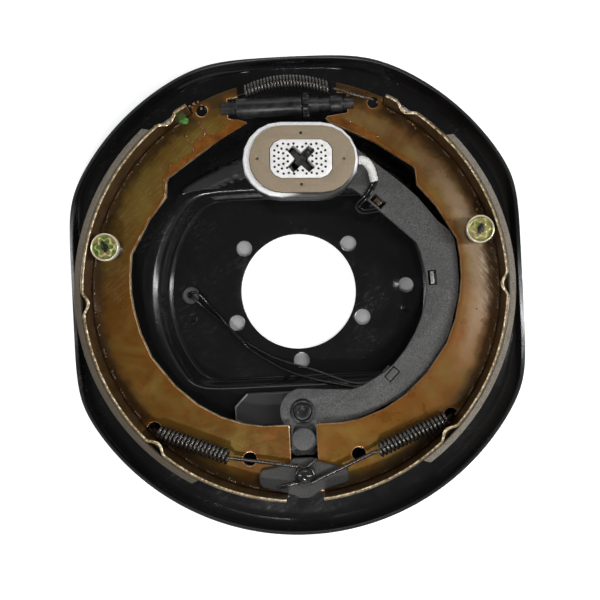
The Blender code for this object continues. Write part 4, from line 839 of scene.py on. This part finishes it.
SHEET, PRESS, LIP = 0.003, 0.013, 0.0088
NIBS = (55.5, -1.5, -46.0)
AXLE_HOLE_R = 0.0434
PAN = (0.096, ((90, 0.0715), (-90, 0.0645)))
WALL = (0.115, ((90, 0.0785), (-90, 0.0735)))
RIM = (0.1802, ((90, 0.1723), (0, 0.1655), (180, 0.1655)))
RIB_DOWN, RIB_ARC_R, RIB_HALF_WIDTH, RIB_HALF_SPAN = 0.053, 0.150, 0.0066, 30.5
RING = SHEET + PRESS
WALL_ROLL = ((0, 0), (0.06, 0.05), (0.2, 0.30), (0.36, 0.62), (0.48, 0.82), (0.58, 0.92),
             (0.74, 0.975), (1.0, 1.0))


def roll(t):
    """How far up the pan's wall a sheet is, a share t of the way out."""
    alongs, ups = zip(*WALL_ROLL)
    blurred = [np.interp(t + shift / 100, alongs, ups) for shift in range(-6, 7)]
    return float(sum(blurred) / 13)


def raised(x, y):
    """Height that the rib and the six shoe ledges add to the ring."""
    up = y + RIB_DOWN
    lean = math.degrees(math.atan2(x, up))
    if abs(lean) < RIB_HALF_SPAN:
        inside = RIB_HALF_WIDTH - abs(math.hypot(x, up) - RIB_ARC_R)
    else:
        end = math.radians(90 - math.copysign(RIB_HALF_SPAN, lean))
        inside = RIB_HALF_WIDTH - math.hypot(x - RIB_ARC_R * math.cos(end), up - RIB_ARC_R * math.sin(end))
    height = 0.0035 * eased(inside / 0.0026)
    for turn in NIBS:
        for degrees in (turn, 180 - turn):
            a = math.radians(degrees)
            outward = x * math.cos(a) + y * math.sin(a) - 0.1466
            across = y * math.cos(a) - x * math.sin(a)
            edge = min(0.0065 - abs(outward), 0.010 - abs(across))
            height = max(height, 0.0017 * eased(edge / 0.0012))
    return height


ANGLES = 400
points = []
for i in range(ANGLES):
    degrees = 360 * i / ANGLES
    pan = limited(*PAN, degrees, 30)
    wall = limited(*WALL, degrees, 14)
    rim = limited(*RIM, degrees, 50)
    lip = min(0.163, rim - 0.0078)
    column = [(AXLE_HOLE_R + (pan - 0.0444) * k / 6, SHEET) for k in range(7)]
    column += [(pan - 0.0009, SHEET + 0.0001), (pan - 0.0005, SHEET + 0.0003), (pan - 0.0001, SHEET + 0.0001)]
    column += [(pan + (wall - pan) * k / 30, SHEET + PRESS * roll(k / 30)) for k in range(1, 34)]
    start = pan + (wall - pan) * 34 / 30
    steps = 40
    column += [(start + (lip - start) * k / steps, None) for k in range(steps)]
    column += [(lip + (rim - 0.003 - lip) * k / 12, RING + LIP * (k / 12) ** 3.4) for k in range(13)]
    for radius, height in column:
        x, y = radius * math.cos(math.radians(degrees)), radius * math.sin(math.radians(degrees))
        if height is None:
            height = RING + raised(x, y)
        points.append((x, y + AXLE.y, height))
plate = from_mesh("finished_backing_plate", points, spun(ANGLES, len(points) // ANGLES))
thickened(plate, SHEET, even=True)
for vertex in plate.data.vertices:
    vertex.co.z = max(vertex.co.z, 0.0)
print("plate", len(plate.data.polygons), "faces")


# %% Holes through the plate
def drill(piece, holes):
    """Cuts round holes, given as (centre, radius, depth from, depth to)."""
    pins = []
    for centre, radius, low, high in holes:
        bpy.ops.object.select_all(action="DESELECT")
        bpy.ops.mesh.primitive_cylinder_add(
            vertices=40, radius=radius, depth=high - low, location=(centre.x, centre.y, (low + high) / 2)
        )
        pins.append(bpy.context.object)
    for pin in pins:
        pin.select_set(True)
    bpy.ops.object.join()
    pins = bpy.context.object
    cut = piece.modifiers.new("holes", "BOOLEAN")
    cut.operation = "DIFFERENCE"
    cut.solver = "MANIFOLD"
    cut.object = pins
    apply_modifiers(piece)
    bpy.data.objects.remove(pins)


through = (-0.01, 0.04)
holes = [(on_circle(0.0523, -90 + step * 65.5, AXLE, 0), 0.006, *through) for step in range(-2, 3)]
holes += [(at(81.5, 0.9), 0.0058, *through), (at(-81.5, 0.9), 0.0048, *through)]
holes += [(at(side * HOLD_DOWN_X, HOLD_DOWN_Y), 0.0025, *through) for side in (1, -1)]
holes += [(at(side * 81.2, -16.6), 0.0033, 0.0012, 0.02) for side in (1, -1)]
holes += [(at(0, y), 0.0053, *through) for y in (-87.4, -131.8)]
drill(plate, holes)
bevelled(plate, 0.0004, 70)
smooth(plate, 38)
keep(plate, "frame", "plate", ["backing_plate"])
print("plate after holes", len(plate.data.polygons), "faces")

# %% [markdown]
# ## Shoes
# Each web gets a fine surface that knows how far it is from its edges, so the varnish can darken there.
# The table is bent again in finer steps, and the weld between them is strung with glossy crumbs.


# %% Webs with a fine surface
def refined(piece, longest):
    """Splits long edges so that attributes can vary over flat faces."""
    mesh = bmesh.new()
    mesh.from_mesh(piece.data)
    for _ in range(7):
        bmesh.ops.triangulate(mesh, faces=[f for f in mesh.faces if len(f.verts) > 3])
        long_edges = [e for e in mesh.edges if e.calc_length() > longest]
        if not long_edges:
            break
        bmesh.ops.subdivide_edges(mesh, edges=long_edges, cuts=1)
    bmesh.ops.triangulate(mesh, faces=[f for f in mesh.faces if len(f.verts) > 3])
    mesh.to_mesh(piece.data)
    mesh.free()


def mark_edges(piece, node):
    """Writes each point's distance from the web's inner outline into an attribute."""
    source = nodes[node].data
    count = {}
    for polygon in source.polygons:
        if polygon.normal.z > 0.9:
            keys = [tuple(np.round(source.vertices[i].co, 6)) for i in polygon.vertices]
            for a, b in zip(keys, keys[1:] + keys[:1]):
                count[frozenset((a, b))] = count.get(frozenset((a, b)), 0) + 1
    outline = []
    for pair, uses in count.items():
        if uses == 1 and len(pair) == 2:
            a, b = (np.array(p[:2]) for p in pair)
            middle = (a + b) / 2 - np.array(AXLE.xy)
            if np.hypot(*middle) < 0.1440:
                outline.append((a, b))
    places = np.array([v.co.xy for v in piece.data.vertices])
    nearest = np.full(len(places), 1.0)
    for a, b in outline:
        ahead = b - a
        t = np.clip(((places - a) @ ahead) / (ahead @ ahead), 0, 1)
        nearest = np.minimum(nearest, np.hypot(*(places - (a + t[:, None] * ahead)).T))
    mark(piece, "from_edge", nearest)
    return len(outline)


for side in ("left", "right"):
    web = softened(f"{side}_shoe_web", "web", 0.0005)
    refined(web, 0.0022)
    smooth(web, 32)
    print(side, "web", len(web.data.polygons), "faces, outline", mark_edges(web, f"{side}_shoe_web"))

# %% Tables bent in fine steps
DRUM_R, DRUM_GAP, LINING_THICK, SEAT_GAP, TABLE_THICK = 0.1524, 0.00075, 0.0042, 0.0003, 0.0021
TABLE_INNER = DRUM_R - DRUM_GAP - LINING_THICK - SEAT_GAP - TABLE_THICK
WEB_RIM = TABLE_INNER - SEAT_GAP
for side, flip in SIDES:
    low, high = FOOT[f"{side}_shoe_table"], TOP[f"{side}_shoe_table"]
    width = high - low
    heights = [0.0, 0.0005, 0.0025, 0.005, 0.0075, width / 2]
    heights += [width - h for h in reversed(heights[:-1])]
    points = []
    angles = np.linspace(-85.0, 62.0, 295)
    for degrees in angles:
        loop = []
        for inner in (True, False):
            line = []
            for height in heights:
                edge = max(0.0, 1 - min(height, width - height) / 0.0075)
                bump = sum(
                    (0.5 + 0.5 * math.cos(math.pi * (degrees - nib) / 3.2)) ** 0.7
                    for nib in NIBS if abs(degrees - nib) < 3.2
                )
                radius = TABLE_INNER + (0 if inner else TABLE_THICK) - 0.0042 * bump * edge
                line.append(on_circle(radius, sided(degrees, flip), AXLE, low + height))
            loop += line if inner else line[::-1]
        points += loop
    table = from_mesh(f"finished_{side}_shoe_table", points, wrapped(len(angles), 2 * len(heights)))
    bevelled(table, 0.0004, 50)
    smooth(table, 40)
    keep(table, f"{side}_shoe", "table", [f"{side}_shoe_table"])
    softened(f"{side}_shoe_lining", "lining", 0.0004)


# %% Crumbs and beads
def crumbs(name, places, body, finish, flat=0.55):
    """Small rounded lumps, given as (centre, radius), as one piece."""
    mesh = bmesh.new()
    for centre, radius in places:
        made = bmesh.ops.create_icosphere(mesh, subdivisions=2, radius=radius)
        for vertex in made["verts"]:
            bumpy = 1 + 0.25 * noise.noise((vertex.co + centre) * 900)
            vertex.co = centre + Vector((vertex.co.x, vertex.co.y, vertex.co.z * flat)) * bumpy
    data = bpy.data.meshes.new(name)
    mesh.to_mesh(data)
    mesh.free()
    piece = placed(name, data)
    smooth(piece, 60)
    return keep(piece, body, finish)


chance = random.Random(4)
web_mm = WEB_TOP * 1000
for side, flip in SIDES:
    places = []
    for i in range(70):
        degrees = 60 - 145 * (i + chance.random()) / 70
        turn = sided(degrees, flip)
        size = chance.choice((0.0003, 0.0004, 0.0006, 0.0010))
        places.append((on_circle(WEB_RIM - 0.0006 - chance.random() * 0.0016, turn, AXLE, WEB_TOP), size))
    for i in range(22):
        turn = sided(58 - 6.6 * i, flip)
        for k in range(5):
            size = 0.0006 + 0.0004 * chance.random()
            places.append((on_circle(WEB_RIM - 0.0009, turn + 0.55 * k, AXLE, WEB_TOP), size))
    crumbs(f"{side}_weld_beads", places, f"{side}_shoe", "crust")

# %% Drips and pools of varnish on the webs
left_beads = [
    (-63.7, 121.5, 1.0), (-73.2, 112.3, 1.1), (-45.1, 119.5, 0.9), (-39.5, 122.4, 0.8), (-78.0, 96.2, 1.0),
    (-85.5, 92.3, 1.0), (-98.9, 107.9, 1.0), (-111.3, 97.8, 1.5), (-100.6, 72.9, 0.7), (-137.9, 51.5, 1.0),
    (-71.8, 131.6, 1.1), (-69.2, 133.4, 1.0), (-66.2, 135.0, 1.2), (-63.2, 136.2, 0.9), (-70.2, 130.0, 0.9),
    (-67.4, 132.6, 0.8), (-61.0, 134.0, 0.7), (-147.0, -17.8, 0.9), (-134.3, -64.3, 1.0), (-118.7, -88.9, 0.9),
    (-16.2, -146.2, 1.0), (-12.6, -146.4, 1.1), (-88.5, -119.2, 1.0), (-69.4, 108.6, 0.7), (-60.6, 112.0, 0.7),
]
right_beads = [
    (62.5, 105.9, 1.0), (131.7, 50.2, 1.6), (91.8, -116.2, 1.0), (115.9, -29.5, 0.6), (92.0, -67.5, 0.7),
    (16.6, -147.0, 1.1), (20.5, -146.4, 0.8), (64.0, 130.0, 1.0), (88.8, 113.0, 1.2), (119.0, 78.0, 0.7),
    (136.0, -42.0, 0.8), (127.4, -20.0, 0.6), (84.5, 87.4, 0.8), (77.0, 91.0, 0.7), (44.0, 116.8, 0.8),
]
for side, beads in (("left", left_beads), ("right", right_beads)):
    places = [(at(x, y, web_mm), size / 1000) for x, y, size in beads]
    crumbs(f"{side}_varnish_beads", places, f"{side}_shoe", "drip", 0.7)


def pool(name, outline, body, finish, thick=0.00035):
    """A thin raised puddle on the web, with a soft edge."""
    path = smooth_path([at(x, y, web_mm - 0.05) for x, y in outline], 3, closed=True)
    piece = from_mesh(name, path + [p + Vector((0, 0, thick)) for p in path], [
        tuple(range(len(path))), tuple(range(2 * len(path) - 1, len(path) - 1, -1)),
        *[(i, (i + 1) % len(path), len(path) + (i + 1) % len(path), len(path) + i) for i in range(len(path))],
    ])
    bevelled(piece, 0.8 * thick, 50, 3)
    smooth(piece, 50)
    return keep(piece, body, finish)


def drip_line(name, points, radius):
    """A run of varnish on the left web, thickest in the middle."""
    path = smooth_path([at(x, y, web_mm) for x, y in points], 6)

    def swollen(i, turn):
        belly = math.sin(math.pi * (i + 1) / (len(path) + 1))
        return radius * (0.35 + 0.65 * belly * (1 + 0.5 * noise.noise(path[i] * 500)))

    return keep(tube(name, path, swollen, 10), "left_shoe", "drip")


pool("left_upper_pool", [
    (-35.8, 122.4), (-40.4, 122.0), (-44.6, 117.9), (-50.5, 114.1), (-55.6, 112.6), (-58.9, 115.2), (-60.3, 113.6),
    (-62.3, 110.5), (-66.6, 109.0), (-68.2, 105.3), (-68.9, 101.0), (-72.7, 99.3), (-75.4, 97.5), (-78.1, 94.8),
    (-81.3, 92.8), (-84.7, 91.9), (-86.5, 88.4), (-88.2, 84.6), (-87.2, 83.6), (-74.0, 92.6), (-60.8, 101.8),
    (-43.0, 111.8), (-31.0, 118.4), (-29.4, 120.2),
], "left_shoe", "drip")
pool("right_upper_pool", [
    (29.6, 120.4), (33.8, 122.0), (39.9, 119.3), (46.5, 115.9), (50.9, 113.4), (56.5, 110.4), (60.9, 107.4),
    (63.0, 104.8), (63.9, 102.6), (69.4, 98.3), (77.0, 93.2), (81.5, 90.4), (85.9, 86.4), (87.6, 83.6),
    (86.8, 83.4), (74.0, 92.6), (60.8, 101.8), (43.0, 111.8), (31.0, 118.4),
], "right_shoe", "drip")
drip_line("left_drip_a", [
    (-63.7, 121.5), (-62.7, 118.6), (-60.2, 116.2), (-59.9, 112.8), (-62.6, 110.1), (-66.0, 109.4),
], 0.0007)
drip_line("left_drip_b", [(-73.2, 112.3), (-72.2, 109.5), (-70.1, 106.5), (-68.5, 104.2), (-68.9, 101.4)], 0.0008)
drip_line("left_drip_c", [
    (-86.9, 88.4), (-89.6, 84.2), (-91.0, 80.4), (-90.1, 75.8), (-90.7, 70.7), (-96.0, 62.5), (-99.5, 58.1),
    (-108.9, 43.8),
], 0.0006)
drip_line("left_drip_d", [(-57.0, 112.8), (-58.0, 115.4), (-58.6, 117.6)], 0.0007)
green = [
    (-74.6 + 3.9 * math.cos(a) - 0.6 * math.sin(a), 123.7 + 2.6 * math.sin(a) + 0.4 * math.cos(3 * a))
    for a in np.linspace(0, math.tau, 13)[:-1]
]
pool("green_paint_mark", green, "left_shoe", "paint", 0.00012)

# %% [markdown]
# ## Hold-down cups
# A cup is a drawn disc with a turned-down rim. Its floor is pressed into six corners round the pin's slot.

# %% Hold-down cups
def star_edge(turn):
    """Radius of the six-cornered step in a cup's floor."""
    return 0.0058 + 0.0011 * math.cos(6 * turn)


for side, flip in SIDES:
    centre = at(flip * HOLD_DOWN_X, HOLD_DOWN_Y)
    floor = TOP[f"{side}_hold_down_cup"] - 0.0030
    radii = [0.0024, 0.0028, 0.0034, 0.0040, 0.0046, 0.0050, 0.0054, 0.0058, 0.0062, 0.0066, 0.0070, 0.0074,
             0.0078, 0.0082, 0.0085, 0.0088, 0.0091, 0.0094, 0.0096, 0.0096, 0.0096]
    points = []
    for i in range(96):
        turn = math.tau * i / 96
        star = star_edge(turn)
        for k, radius in enumerate(radii):
            crown = 0.0014 * eased((star - radius) / 0.0009 + 0.5)
            wall = 0.0030 * eased((radius - 0.0076) / 0.0012)
            fall = {18: 0.0006, 19: 0.0026, 20: 0.0048}.get(k, 0.0002 if k == 17 else 0.0)
            height = floor + 0.001 + crown + wall * (0.0020 / 0.0030) - fall
            points.append((centre.x + radius * math.cos(turn), centre.y + radius * math.sin(turn), height))
    cup = from_mesh(f"finished_{side}_hold_down_cup", points, spun(96, len(radii)))
    thickened(cup, 0.0008)
    smooth(cup, 60)
    rim, crown = [], []
    for v in cup.data.vertices:
        out = math.hypot(v.co.x - centre.x, v.co.y - centre.y)
        turn = math.atan2(v.co.y - centre.y, v.co.x - centre.x)
        off = abs(out - star_edge(turn))
        rim.append(eased((out - 0.0083) / 0.0004))
        crown.append(1 - eased((off - 0.0003) / 0.0004))
    mark(cup, "rim", rim)
    mark(cup, "crown", crown)
    keep(cup, f"{side}_cup", "yellow", [f"{side}_hold_down_cup"])
    softened(f"{side}_hold_down_pin", "oxide", 0.0002)

# %% [markdown]
# ## Magnet
# The pale core is perforated round the X opening, and a dark clip lies across it below the surface.

# %% Perforated core
core = softened("magnet_core", "core", 0.0003)
low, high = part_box("magnet_core")
middle = Vector(((low[0] + high[0]) / 2, (low[1] + high[1]) / 2, high[2]))
quarter = [
    (17.45, 5.7), (17.6, 1.8), (15.3, 8.8), (11.4, 10.3), (7.8, 9.8), (4.3, 10.3), (1.75, 8.1), (12.5, 6.8),
    (14.6, 4.3), (11.4, 3.6), (8.9, 6.3), (8.4, 1.9),
]
pattern = {(sx * x, sy * y) for x, y in quarter for sx in (1, -1) for sy in (1, -1)}
pattern |= {(14.6, 0.0), (11.1, 0.0), (-14.6, 0.0), (-11.1, 0.0)}
skew, slope = math.radians(-1.7), math.tan(math.radians(5))
CORE_DOWN = 0.0019


def on_magnet(x, y):
    """A point on the turned magnet, in millimetres from its middle."""
    along, across = math.cos(skew), math.sin(skew)
    return middle + Vector((x * along - y * across, x * across + y * along, 0)) / 1000


spots = []
for x, y in sorted(pattern):
    place = on_magnet(x, y)
    surface = high[2] - CORE_DOWN - slope * (place.x - middle.x)
    spots.append((place, 0.00088, surface - 0.0012, surface + 0.006))
drill(core, spots)
smooth(core, 32)
# Painted shade: the points below the core's surface, inside the perforations, are marked to be painted near black.
sunk = [max(0.0, min(1.0, (high[2] - CORE_DOWN - slope * (v.co.x - middle.x) - 0.0004 - v.co.z) / 0.0002))
        for v in core.data.vertices]
mark(core, "sunk", sunk)
print("core", len(core.data.polygons), "faces,", len(spots), "holes")

# %% Copies of the plain stamped and turned pieces
bracket = softened("pivot_bracket", "plate", 0.0003)
# Painted highlight: the bracket's chamfers that face up and to the left are marked for a pale grey.
painted_edge_highlight = [float(0.35 < p.normal.z < 0.95 and p.center.x < -0.008) for p in bracket.data.polygons]
mark(bracket, "painted_edge_highlight", painted_edge_highlight, "FACE")
softened("anchor_post", "polished", 0.0002)
softened("lever_stud", "oxide", 0.0002)
softened("shoe_retainer", "retainer", 0.0002)
softened("lever_arm", "phosphate", 0.0005)
softened("lever_bushing", "oxide", 0.0002)
worn = Finish("worn", "worn_tongue", (0.40, 0.38, 0.34), 0.4, 0.5)
worn.colour(worn.ramp(worn.grain(600, 3), (0.35, (0.16, 0.15, 0.14)), (0.65, (0.42, 0.40, 0.37))))
tongues = (
    (61.5, 60.5, 137, 5.6, 3.0, "crust", 1.4), (97.8, 4.0, 92, 9.0, 2.8, "worn", 0.8),
    (65.5, -64.0, 45, 9.2, 4.8, "phosphate", 0.3),
)
for number, (x, y, turn, long, wide, finish, sunk) in enumerate(tongues):
    bpy.ops.object.select_all(action="DESELECT")
    bpy.ops.mesh.primitive_cube_add(size=1, location=at(x, y, (TOP["lever_arm"] * 1000 - sunk - 0.6)))
    bpy.ops.transform.resize(value=(long / 1000, wide / 1000, 0.0012))
    bpy.ops.transform.rotate(value=-math.radians(turn), orient_axis="Z")
    bpy.ops.object.transform_apply(location=True, rotation=True, scale=True)
    tongue = bpy.context.object
    tongue.name = f"lever_tongue_{number}"
    bevelled(tongue, 0.0004)
    smooth(tongue, 40)
    keep(tongue, "lever", finish)
softened("actuating_pin", "phosphate", 0.0003)
softened("adjuster_nut", "oxide", 0.0003)
softened("adjuster_screw", "oxide", 0.0002)
softened("adjuster_socket", "oxide", 0.0003)
case = softened("magnet_case", "zinc", 0.0002)
refined(case, 0.004)
smooth(case, 32)
level = TOP["magnet_case"]
mark(case, "shaded", [eased((level - 0.0022 - v.co.z) / 0.0012) * eased((middle.y - 0.004 - v.co.y) / 0.010)
                      for v in case.data.vertices])
softened("magnet_face", "face", 0.0003)
# Painted shade: flat black discs on the face's four holes make the holes read dark.
low, high = (Vector(corner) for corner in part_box("magnet_face"))
places = []
for x, y in ((27.9, 0), (-27.9, 0), (0, 16.9), (0, -16.9)):
    place = on_magnet(x, y)
    place.z = high.z - slope * ((high.x - low.x) / 2 + place.x - middle.x) - 0.0001
    places.append((place, 0.0013))
crumbs("face_hole_shade_discs", places, "magnet", "rubber", 0.12)
softened("magnet_clip", "retainer", 0.0004)

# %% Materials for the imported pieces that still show
plain = {
    "magnet_coil": "coil", "magnet_post": "oxide",
    "lead_grommet": "phosphate", "adjuster_slot_plug": "rubber",
}
for node, finish in plain.items():
    nodes[node].material_slots[0].material = finishes[finish]
